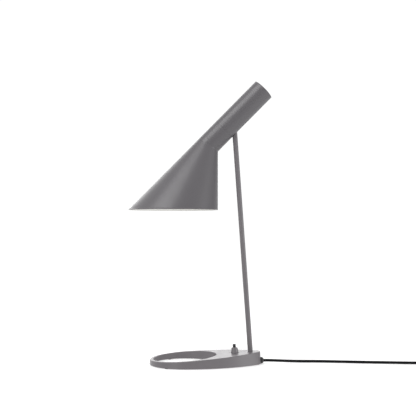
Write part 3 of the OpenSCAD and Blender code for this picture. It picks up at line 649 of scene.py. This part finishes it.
def edge_point(facing, inset):
    """The point of the outline whose edge faces this direction, moved in by inset, from the hole's centre."""
    side = 1 if facing >= 0 else -1
    turn = abs(facing)
    if turn <= turn_nose:
        centre, radius = Vector((NOSE_X, 0)), NOSE_R
    elif turn <= turn_round:
        centre, radius = Vector((side_c, -side * side_y)), SIDE_R
    else:
        centre, radius = Vector((0, 0)), ROUND_R
    return centre + (radius - inset) * Vector((cos(facing), sin(facing)))


def evenly(start, end, count):
    return [start + (end - start) * i / count for i in range(count)]


facings = (evenly(-turn_nose, turn_nose, 56) + evenly(turn_nose, turn_round, 64)
           + evenly(turn_round, pi, 70) + evenly(-pi, -turn_round, 70) + evenly(-turn_round, -turn_nose, 64))
print(f"outline of {len(facings)} points, {2 * ROUND_R:.3f} m wide")


# %% Skin of the base
def top_height(x):
    return TOP_AT_HOLE + x * tan(LEAN)


TOP_EDGE, LOW_EDGE, HOLE_EDGE, DRAFT = 1.5 * MM, 0.8 * MM, 0.9 * MM, 0.07
quarter = [i / 6 * pi / 2 for i in range(7)]


def base_row(inset_at, height_at):
    """One row round the outline. Both functions take the outline point's x and give metres."""
    row = []
    for facing in facings:
        x = edge_point(facing, 0).x
        flat = edge_point(facing, inset_at(x))
        row.append(Vector((HOLE_X + flat.x, flat.y, height_at(flat.x))))
    return row


def hole_row(radius, height_at):
    row = []
    for facing in facings:
        spoke = edge_point(facing, 0).normalized() * radius
        row.append(Vector((HOLE_X + spoke.x, spoke.y, height_at(spoke.x))))
    return row


def wall_inset(x):
    return DRAFT * (top_height(x) - BASE_LOW)


base_rows = []
for a in quarter:
    base_rows.append(base_row(lambda x: LOW_EDGE * (1 - sin(a)), lambda x: BASE_LOW + LOW_EDGE * (1 - cos(a))))
for a in quarter:
    base_rows.append(base_row(lambda x: wall_inset(x) + TOP_EDGE * (1 - cos(a)),
                              lambda x: top_height(x) - TOP_EDGE * (1 - sin(a))))
edge_row, last_row = base_rows[-1], hole_row(HOLE_R + HOLE_EDGE, top_height)
for share in (0.06, 0.3, 0.6, 0.9):
    base_rows.append([a.lerp(b, share) for a, b in zip(edge_row, last_row)])
for a in reversed(quarter):
    base_rows.append(hole_row(HOLE_R + HOLE_EDGE * (1 - cos(a)),
                              lambda x: top_height(x) - HOLE_EDGE * (1 - sin(a))))
for a in reversed(quarter):
    base_rows.append(hole_row(HOLE_R + LOW_EDGE * (1 - sin(a)), lambda x: BASE_LOW + LOW_EDGE * (1 - cos(a))))
base = skin("base", base_rows, loop=True)
print("base skin:", len(base.data.polygons), "faces")

# %% [markdown]
# ### Pocket and holes
# The thick end is hollow from below for the switch and the wiring, and a thin cover closes it. The stem and
# the switch stand in drilled holes, and the cord's bush sits in a spot-faced hole in the end. These are cuts.

# %% Cut the pocket and the holes
SKIN_T, COVER_T = 4 * MM, 1.6 * MM
# How far each hollow stays inside the outline, and where along the base it starts
RECESS_INSET, RECESS_FROM = 4 * MM, 71 * MM
POCKET_INSET, POCKET_FROM = 7 * MM, 74 * MM
SOCKET_R, SOCKET_DEEP, BOLT_HOLE_R, CORD_HOLE_R = 5.05 * MM, 3 * MM, 4.05 * MM, 3.95 * MM
SPOT_R, SPOT_DEEP = 7 * MM, 1.2 * MM
top_place = Matrix.Translation((HOLE_X, 0, TOP_AT_HOLE)) @ Matrix.Rotation(-LEAN, 4, "Y")
stem_x = (pivot.x - HOLE_X) * cos(LEAN) + (pivot.z - TOP_AT_HOLE) * sin(LEAN)
SWITCH_X = 98.5 * MM / cos(LEAN)


def block_under(name, inset, from_x, low, high_at):
    """A block with the outline of the base's thick end, for cutting."""
    ends = [edge_point(facing, inset) for facing in evenly(-turn_round, turn_round, 160)]
    kept = [p for p in ends if p.x > from_x]
    kept = [Vector((from_x, kept[0].y))] + kept + [Vector((from_x, kept[-1].y))]
    under = [Vector((HOLE_X + p.x, p.y, low)) for p in kept]
    over = [Vector((HOLE_X + p.x, p.y, high_at(p.x))) for p in kept]
    solid = skin(name, [under, over])
    mesh = bmesh.new()
    mesh.from_mesh(solid.data)
    for above in (False, True):
        rim = [e for e in mesh.edges if all((v.index >= len(kept)) == above for v in e.verts)]
        bmesh.ops.contextual_create(mesh, geom=rim)
    bmesh.ops.recalc_face_normals(mesh, faces=mesh.faces)
    mesh.to_mesh(solid.data)
    mesh.free()
    return solid


def drill(radius, low, high, place):
    return turned("drill", [(0, low), (radius, low), (radius, high), (0, high)], place, turns=64)


gland_low, gland_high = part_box("cord_gland")
GLAND_Z = (gland_low.z + gland_high.z) / 2
nose_end = HOLE_X + NOSE_X + NOSE_R
gland_place = Matrix.Translation((nose_end, 0, GLAND_Z)) @ along_x
stem_place = top_place @ Matrix.Translation((stem_x, 0, 0))
switch_place = top_place @ Matrix.Translation((SWITCH_X, 0, 0))
cut(base,
    block_under("recess", RECESS_INSET, RECESS_FROM, BASE_LOW - 2 * MM, lambda x: BASE_LOW + COVER_T),
    block_under("pocket", POCKET_INSET, POCKET_FROM, BASE_LOW + MM, lambda x: top_height(x) - SKIN_T),
    drill(SOCKET_R, -SOCKET_DEEP, 6 * MM, stem_place),
    drill(BOLT_HOLE_R, -8 * MM, 6 * MM, stem_place),
    drill(BOLT_HOLE_R, -6 * MM, 6 * MM, switch_place),
    drill(CORD_HOLE_R, -9 * MM, 4 * MM, gland_place),
    drill(SPOT_R, -SPOT_DEEP, 4 * MM, gland_place))
# The casting wears the lighter copy of the grey paint, which is painted light.
hand_over(soften(base, 40), "stand", "grey_paint", "base_casting", look="grey_with_painted_light")

# %% [markdown]
# ## Stem, collar, button and cord bush
# These are turned parts, so each is one profile spun round its own axis. The stem and the switch stand square
# to the sloping top. Every outer corner has a small radius, because light on that edge is what makes a turned
# part look real.

# %% Stem
STEM_R, STEM_BORE_R, KNUCKLE_LEN = 5 * MM, 3 * MM, 8.5 * MM
stem_len = (pivot - stem_place.translation).length
stem_end = stem_len - KNUCKLE_LEN
stem_profile = rounded([(STEM_R, -SOCKET_DEEP), (STEM_R, stem_end), (STEM_BORE_R, stem_end),
                        (STEM_BORE_R, -SOCKET_DEEP)], 0.4 * MM, closed=True)
stem = turned("stem", stem_profile, stem_place, loop=True)
# The stem wears the lighter copy of the grey paint too: painted light, for light bounced up off the base.
hand_over(soften(stem), "stand", "grey_paint", "stem_tube", look="grey_with_painted_light")

# %% Collar and button
COLLAR_H, COLLAR_LOW_R, COLLAR_TOP_R, BUTTON_R = 10.6 * MM, 7.4 * MM, 6 * MM, 3 * MM
MOUTH_R, MOUTH_DEEP = BUTTON_R + 0.1 * MM, 2.4 * MM
collar_profile = rounded(
    [(BOLT_HOLE_R, 0), (COLLAR_LOW_R, 0), (COLLAR_LOW_R, 0.7 * MM), (COLLAR_TOP_R, COLLAR_H),
     (MOUTH_R, COLLAR_H), (MOUTH_R, COLLAR_H - MOUTH_DEEP), (BOLT_HOLE_R, COLLAR_H - MOUTH_DEEP)],
    [0.1 * MM, 0.3 * MM, 0.5 * MM, 1.0 * MM, 0.4 * MM, 0, 0], closed=True)
collar = turned("switch_collar_ring", collar_profile, switch_place, loop=True)
# Its finish is the lighter grey copy, which is painted light.
hand_over(soften(collar), "stand", "dark_grey_paint", "switch_collar")

BUTTON_TOP, BUTTON_LOW, FLANGE_R, DISH = 17.3 * MM, -6.5 * MM, 4.3 * MM, 0.25 * MM
flange_top = BUTTON_LOW + 1.2 * MM
button_profile = rounded(
    [(0, BUTTON_LOW), (FLANGE_R, BUTTON_LOW), (FLANGE_R, flange_top), (BUTTON_R, flange_top),
     (BUTTON_R, BUTTON_TOP), (0, BUTTON_TOP - DISH)],
    [0, 0.2 * MM, 0.2 * MM, 0.1 * MM, 0.9 * MM, 0])
button = turned("push_button", button_profile, switch_place, turns=64)
hand_over(soften(button), "button", "black_plastic", "switch_button")

# %% Cord bush
BUSH_R, BUSH_OUT, BUSH_BORE_R, BUSH_NECK_R, BUSH_LIP_R = 6.5 * MM, 4.5 * MM, 2.75 * MM, 3.9 * MM, 4.6 * MM
BUSH_IN, BUSH_LIP_IN = -9 * MM, -7.6 * MM
bush_profile = rounded(
    [(BUSH_BORE_R, BUSH_IN), (BUSH_LIP_R, BUSH_IN), (BUSH_LIP_R, BUSH_LIP_IN), (BUSH_NECK_R, BUSH_LIP_IN),
     (BUSH_NECK_R, -SPOT_DEEP), (BUSH_R, -SPOT_DEEP), (BUSH_R, BUSH_OUT / 2), (4.4 * MM, BUSH_OUT),
     (BUSH_BORE_R, BUSH_OUT)],
    [0.1 * MM, 0.2 * MM, 0, 0, 0, 0.2 * MM, 0.5 * MM, 0.5 * MM, 0.3 * MM], closed=True)
bush = turned("cord_bush", bush_profile, gland_place, loop=True, turns=64)
hand_over(soften(bush), "stand", "black_plastic", "cord_gland")

# %% [markdown]
# ## The shade
# The shade is a spun cone brazed to a short piece of tube. Both touch one ball inside the bend, which is why
# they meet on a flat oval and why the long upper line runs on without a break. Each line of the skin starts
# at the seam, runs down the tube to that oval, and goes on along the cone's own straight line to the level
# rim. The sheet is 1 mm thick, with a small rolled bead at the rim. Outside it is grey and inside white.

# %% Lines of the head
HEAD_ANGLE = radians(44.6)
HALF_CONE = HEAD_ANGLE / 2
head_place = Matrix.Translation(pivot) @ Matrix.Rotation(HEAD_ANGLE, 4, "Y")
TUBE_R, SHEET = 22.5 * MM, 1.0 * MM
SEAM, BEND, TUBE_TOP = -28.5 * MM, -77 * MM, 84 * MM
RIM_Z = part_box("shade_cone")[0].z
SHADE_TURNS = 216
CREASE_ROUND = 1.0 * MM
BEAD_H, BEAD_OUT = 2.4 * MM, 0.32 * MM


def tip_of(radius):
    """The tip that all the cone's lines would meet in."""
    return head_place @ Vector((-radius, 0, BEND + radius / tan(HALF_CONE)))


def head_line(angle, radius):
    """Seam, crease and rim of the line at this angle round the tube, for a skin of this radius."""
    x, y = radius * cos(angle), radius * sin(angle)
    seam = head_place @ Vector((x, y, SEAM))
    crease = head_place @ Vector((x, y, BEND + (x + radius) * tan(HALF_CONE) / 2))
    tip = tip_of(radius)
    along = crease - tip
    return seam, crease, tip + along * ((RIM_Z - tip.z) / along.z)


def at_height(crease, rim, height):
    """The point of the cone's line at this height above the rim."""
    return rim.lerp(crease, height / (crease.z - rim.z))


angles = [2 * pi * i / SHADE_TURNS for i in range(SHADE_TURNS)]
lines_out = [head_line(angle, TUBE_R) for angle in angles]
lines_in = [head_line(angle, TUBE_R - SHEET) for angle in angles]
print(f"rim from {lines_out[SHADE_TURNS // 2][2].x:.4f} to {lines_out[0][2].x:.4f} m along X")


# %% Rows of the shade
EDGE = 0.12 * MM
NECK_STEPS, CREASE_STEPS = 8, 6


def down_rows(lines, heights):
    """Rows from the seam to the cone's lowest given height, with the crease rounded."""
    columns = []
    for seam, crease, rim in lines:
        up, down = (seam - crease).normalized(), (rim - crease).normalized()
        start, end = crease + up * CREASE_ROUND, crease + down * CREASE_ROUND
        # Three close rows at the seam keep its turned edge from tinting the neck
        column = [seam - up * EDGE * step for step in (1, 2, 5)]
        column += [seam.lerp(start, k / NECK_STEPS) for k in range(1, NECK_STEPS + 1)]
        for k in range(1, CREASE_STEPS + 1):
            share = k / CREASE_STEPS
            column.append(start.lerp(crease, share).lerp(crease.lerp(end, share), share))
        columns.append(column + [at_height(crease, rim, height) for height in heights])
    return [list(row) for row in zip(*columns)]


# Heights of the cone's rows above the rim, a little closer together towards it
ROWS_FROM, ROWS_TO, ROWS_BELOW, CROWDED, CONE_STEPS = 115 * MM, 3.2 * MM, 100 * MM, 1.15, 24
cone_heights = [ROWS_FROM * (1 - k / CONE_STEPS) ** CROWDED + ROWS_TO for k in range(1, CONE_STEPS + 1)]
cone_heights = [height for height in cone_heights if height < ROWS_BELOW] + [BEAD_H]
outer_rows = down_rows(lines_out, cone_heights)
inner_rows = down_rows(lines_in, cone_heights[::2])
print(len(outer_rows), "rows outside and", len(inner_rows), "inside")

# %% Bead and rim
BEAD_STEPS, LIP, LIP_STEPS = 8, 0.35 * MM, 6
axis_down = head_place.to_3x3() @ Matrix.Rotation(-HALF_CONE, 3, "Y") @ Vector((0, 0, -1))


def outward(line):
    """The direction square to the cone's skin at this line."""
    _, crease, rim = line
    along = (rim - crease).normalized()
    off_tip = rim - tip_of(TUBE_R)
    off_axis = off_tip - axis_down * off_tip.dot(axis_down)
    return (off_axis - along * off_axis.dot(along)).normalized()


outs = [outward(line) for line in lines_out]
for k in range(1, BEAD_STEPS + 1):
    height = BEAD_H + (LIP - BEAD_H) * k / BEAD_STEPS
    swell = BEAD_OUT * sin(pi * k / (BEAD_STEPS + 1))
    outer_rows.append([at_height(c, r, height) + out * swell for (_, c, r), out in zip(lines_out, outs)])
inner_edge = [at_height(c, r, LIP) for _, c, r in lines_in]
rim_rows = []
for k in range(1, LIP_STEPS):
    dip = Vector((0, 0, LIP * sin(pi * k / LIP_STEPS)))
    rim_rows.append([a.lerp(b, k / LIP_STEPS) - dip for a, b in zip(outer_rows[-1], inner_edge)])
print("bead", BEAD_H / MM, "mm high")

# %% Skin of the shade, grey outside and white inside
shade = skin("shade", outer_rows + rim_rows + [inner_edge] + inner_rows[::-1], loop=True)
shade.data.materials.append(finishes["grey_paint"])
shade.data.materials.append(finishes["white_paint"])
first_inside = (len(outer_rows) + len(rim_rows) - 1) * SHADE_TURNS
last_inside = (len(outer_rows) + len(rim_rows) + len(inner_rows)) * SHADE_TURNS
for face in shade.data.polygons:
    face.use_smooth = True
    face.material_index = 1 if first_inside <= face.index < last_inside else 0
hand_over(shade, "head", "grey_paint", "shade_cone", "shade_neck")

# %% [markdown]
# ## The head's tube
# A plain length of tube, with a slot in its underside that the stem swings in, and a short spigot that goes
# into the shade's neck. The outside is turned with a small radius at both ends, so that a fine line shows at
# the seam. The slot is a cut with two round ends.

# %% Tube with its slot
SPIGOT_R, SPIGOT_IN_R, SPIGOT_LEN = 21.4 * MM, 20.5 * MM, 10 * MM
SLOT_W, SLOT_TOP = 11 * MM, 20.5 * MM
tube_profile = rounded(
    [(TUBE_R, SEAM), (TUBE_R, TUBE_TOP), (TUBE_R - SHEET, TUBE_TOP), (TUBE_R - SHEET, SEAM + 2 * MM),
     (SPIGOT_IN_R, SEAM + 2 * MM), (SPIGOT_IN_R, SEAM - SPIGOT_LEN), (SPIGOT_R, SEAM - SPIGOT_LEN),
     (SPIGOT_R, SEAM)],
    [EDGE, 0.45 * MM, 0.3 * MM, 0, 0, 0.2 * MM, 0.2 * MM, 0], closed=True)
tube = turned("head_tube_shell", tube_profile, head_place, loop=True, turns=144)

slot_low, slot_high = SEAM + SLOT_W / 2, SLOT_TOP - SLOT_W / 2
slot_mid = (slot_low + slot_high) / 2
SLOT_STEPS = 24
slot_ring = []
for centre, start in ((slot_high, 0), (slot_low, pi)):
    for k in range(SLOT_STEPS + 1):
        a = start + pi * k / SLOT_STEPS
        slot_ring.append((SLOT_W / 2 * cos(a), centre + SLOT_W / 2 * sin(a)))

inside_x, outside_x = TUBE_R / 2, TUBE_R * 1.4
slot_rows = [[head_place @ Vector((x, y, z)) for y, z in ring]
             for x, ring in ((inside_x, [(0, slot_mid)]), (inside_x, slot_ring), (outside_x, slot_ring),
                             (outside_x, [(0, slot_mid)]))]
cut(tube, skin("slot_cutter", slot_rows))
hand_over(soften(tube, 40), "head", "grey_paint", "head_tube")

# %% [markdown]
# ## The bulb
# An opal candle bulb: a smooth profile through a few points, and a screw cap whose thread shows as a row of
# round ridges. Both are spun round the tube's axis.

# %% Bulb glass and cap
BULB_SEAT = -76 * MM
bulb_place = head_place @ Matrix.Translation((0, 0, BULB_SEAT)) @ Matrix.Rotation(pi, 4, "X")
BULB_MM = [(6.9, 0, 0), (8.6, 5, 0), (12.6, 13, 0), (15.8, 22, 0), (17.3, 31, 0), (17.5, 38, 0), (16.9, 46, 0),
           (14.6, 56, 0), (11, 65, 0), (7, 71.5, 0), (3.4, 75, 0), (0, 76, 0)]
bulb_outline = [(max(p.x, 0), p.y) for p in curve_through(BULB_MM, 4)]
bulb_profile = [(0, 0)] + bulb_outline[:-1] + [(0, bulb_outline[-1][1])]
bulb = turned("bulb", bulb_profile, bulb_place)
hand_over(soften(bulb), "head", "opal_glass", "bulb_glass")

CAP_R, CAP_LEN, THREADS, THREAD_STEPS, THREAD_DEEP = 6.9 * MM, 22 * MM, 7, 8, 0.25 * MM
cap_profile = [(0, -0.05 * MM), (CAP_R - 0.2 * MM, -0.05 * MM)]
for k in range(THREADS * THREAD_STEPS + 1):
    wave = THREAD_DEEP * (cos(2 * pi * k / THREAD_STEPS) - 1)
    cap_profile.append((CAP_R + wave, -k / (THREADS * THREAD_STEPS) * (CAP_LEN - 4 * MM) - MM))
cap_profile += [(CAP_R - 0.4 * MM, -CAP_LEN + 2 * MM), (5 * MM, -CAP_LEN), (2.2 * MM, -CAP_LEN - 2.4 * MM),
                (0, -CAP_LEN - 2.5 * MM)]
cap = turned("bulb_screw_cap", cap_profile, bulb_place, turns=64)
hand_over(soften(cap), "head", "nickel", "bulb_cap")

# %% [markdown]
# ## Under the base
# Seven rubber pads keep the casting off the table, and four countersunk screws hold the cover. Each is
# modelled once and a node tree puts a copy at every place.

# %% Pads and screws
PADS_MM = [(-66, 0), (-33, 57.2), (-33, -57.2), (126, 12), (126, -12), (64, 50), (64, -50)]
BOSSES_MM = [(81, 40), (81, -40), (118, 23.5), (118, -23.5)]
pad_profile = rounded([(0, 0), (3.4 * MM, 0), (3.4 * MM, BASE_LOW), (0, BASE_LOW)], [0, 0.3 * MM, 0.1 * MM, 0])
pad_model = turned("pad_model", pad_profile, Matrix.Identity(4), turns=40)
pads = placed("pads", [Vector((HOLE_X + x * MM, y * MM, 0)) for x, y in PADS_MM], pad_model,
              finishes["black_rubber"])
hand_over(soften(pads), "stand", "black_rubber", "foot_pads")

screw_profile = rounded([(0, 0.25 * MM), (1.2 * MM, 0.05 * MM), (2.9 * MM, 0), (1.45 * MM, 1.45 * MM),
                         (1.45 * MM, 8 * MM), (0, 8 * MM)], [0, 0.2 * MM, 0.15 * MM, 0, 0.2 * MM, 0])
screw_model = turned("screw_model", screw_profile, Matrix.Identity(4), turns=40)
screws = placed("screws", [Vector((HOLE_X + x * MM, y * MM, BASE_LOW)) for x, y in BOSSES_MM], screw_model,
                finishes["zinc_steel"])
hand_over(soften(screws), "stand", "zinc_steel", "cover_screws")

# %% [markdown]
# ## The studio floor
# A white floor that the lamp stands on. The camera sees it as a matt surface with a faint shadow; every other
# ray goes through it to the room's light below, which keeps the lit floor even and free of speckle. From
# below, the camera looks through it too, and far from the lamp it fades into the white room, so that no
# horizon shows.

# %% Floor
FADE_FROM, FADE_TO = 1.0, 3.0
bpy.context.scene.view_settings.view_transform = "Standard"


def floor_material():
    material = bpy.data.materials.new("white floor")
    material.use_nodes = True
    tree = material.node_tree
    matt = tree.nodes["Principled BSDF"]
    for socket, value in (("Base Color", (0.82, 0.82, 0.82, 1)), ("Roughness", 0.8),
                          ("Emission Color", (1, 1, 1, 1)), ("Emission Strength", 0.42)):
        matt.inputs[socket].default_value = value
    side = add_node(tree, "ShaderNodeNewGeometry")
    ray = add_node(tree, "ShaderNodeLightPath")
    front = add_node(tree, "ShaderNodeMath", {
        0: ray.outputs["Is Camera Ray"], 1: side.outputs["Backfacing"]}, operation="SUBTRACT", use_clamp=True)
    place = add_node(tree, "ShaderNodeTexCoord")
    reach = add_node(tree, "ShaderNodeVectorMath", {0: place.outputs["Object"]}, operation="LENGTH")
    fade = add_node(tree, "ShaderNodeMapRange", {
        "Value": reach.outputs["Value"], "From Min": FADE_FROM, "From Max": FADE_TO, "To Min": 1, "To Max": 0},
        interpolation_type="SMOOTHSTEP")
    seen = add_node(tree, "ShaderNodeMath", {0: front.outputs[0], 1: fade.outputs[0]}, operation="MULTIPLY")
    clear = add_node(tree, "ShaderNodeBsdfTransparent")
    mix = add_node(tree, "ShaderNodeMixShader", {0: seen.outputs[0], 1: clear.outputs[0], 2: matt.outputs[0]})
    tree.links.new(mix.outputs[0], tree.nodes["Material Output"].inputs["Surface"])
    return material


FLOOR_HALF, FLOOR_Z = 6.0, -0.0002
corners = [(x * FLOOR_HALF, y * FLOOR_HALF, FLOOR_Z) for x, y in ((-1, -1), (1, -1), (1, 1), (-1, 1))]
floor_mesh = bpy.data.meshes.new("floor")
floor_mesh.from_pydata(corners, [], [(0, 1, 2, 3)])
floor = bpy.data.objects.new("floor", floor_mesh)
bpy.context.scene.collection.objects.link(floor)
floor.data.materials.append(floor_material())
print("floor of", 2 * FLOOR_HALF, "m")

# %% [markdown]
# ## The studio light
# Satin paint shows the room that it stands in. So the room's walls get a ramp of brightness, which goes round
# from the front by the left to the back, and on by the right to the front again: bright behind the lamp, dark
# behind the camera. Soft lights add the streaks: a wide one high in front on the left, and two weak ones at
# the lamp's own height. The camera itself sees plain white behind the lamp.

# %% Room
BEHIND_LAMP = 1.05


def room(walls, above, below):
    """Light from all round. walls lists (share of the way round, strength); above and below are strengths."""
    world = bpy.data.worlds.new("room")
    bpy.context.scene.world = world
    world.use_nodes = True
    tree = world.node_tree
    place = add_node(tree, "ShaderNodeTexCoord")
    parts = add_node(tree, "ShaderNodeSeparateXYZ", {0: place.outputs["Generated"]})
    angle = add_node(tree, "ShaderNodeMath", {0: parts.outputs[0], 1: parts.outputs[1]}, operation="ARCTAN2")
    share = add_node(tree, "ShaderNodeMapRange", {"Value": angle.outputs[0], "From Min": -pi, "From Max": pi})
    ramp = add_node(tree, "ShaderNodeFloatCurve", {"Value": share.outputs["Result"]})
    curve = ramp.mapping.curves[0]
    most = max(strength for _, strength in walls)
    for k, (at, strength) in enumerate(walls):
        if k < 2:
            curve.points[k].location = (at, strength / most)
        else:
            curve.points.new(at, strength / most)
    ramp.mapping.update()
    level = add_node(tree, "ShaderNodeMath", {0: ramp.outputs[0], 1: most}, operation="MULTIPLY")
    ray = add_node(tree, "ShaderNodeLightPath")

    def band(start, end):
        """0 to 1 as the direction's height goes from start to end."""
        return add_node(tree, "ShaderNodeMapRange", {
            "Value": parts.outputs["Z"], "From Min": start, "From Max": end},
            interpolation_type="SMOOTHSTEP").outputs["Result"]

    strength = level.outputs[0]
    for where, other in ((band(0.35, 0.95), above), (band(0.0, -0.5), below),
                         (ray.outputs["Is Camera Ray"], BEHIND_LAMP)):
        mixed = add_node(tree, "ShaderNodeMix", {"Factor": where, "A": strength, "B": other})
        strength = mixed.outputs["Result"]
    background = tree.nodes["Background"]
    background.inputs["Color"].default_value = (1, 1, 1, 1)
    tree.links.new(strength, background.inputs["Strength"])


# The ramp starts straight in front, goes round by the left to the back, and by the right to the front again
room(walls=[(0, 0.18), (1, 0.18), (0.12, 0.24), (0.25, 0.5), (0.4, 1.15), (0.46, 2.4), (0.52, 2.4), (0.56, 0.8),
            (0.68, 0.45), (0.78, 0.8), (0.9, 0.34)], above=0.6, below=0.95)


# %% Soft lights
def soft_light(name, angle_deg, height_deg, distance, size, watts):
    """A soft light at a compass angle from straight in front, plus to the right, aimed at the lamp."""
    lamp = bpy.data.lights.new(name, "AREA")
    lamp.shape, lamp.size, lamp.size_y, lamp.energy = "RECTANGLE", size[0], size[1], watts
    obj = bpy.data.objects.new(name, lamp)
    bpy.context.scene.collection.objects.link(obj)
    turn, rise = radians(angle_deg), radians(height_deg)
    away = Vector((sin(turn) * cos(rise), -cos(turn) * cos(rise), sin(rise)))
    obj.location = Vector((0, 0, 0.3)) + away * distance
    obj.rotation_euler = away.to_track_quat("Z", "Y").to_euler()
    obj.visible_camera = False


soft_light("high light", -41, 47, 2.2, (1.7, 1.1), 26)
soft_light("left light", -33, 0, 2.2, (0.8, 0.6), 4.0)
soft_light("right light", 70, 0, 2.2, (0.75, 0.6), 9.0)
print("room and three soft lights")
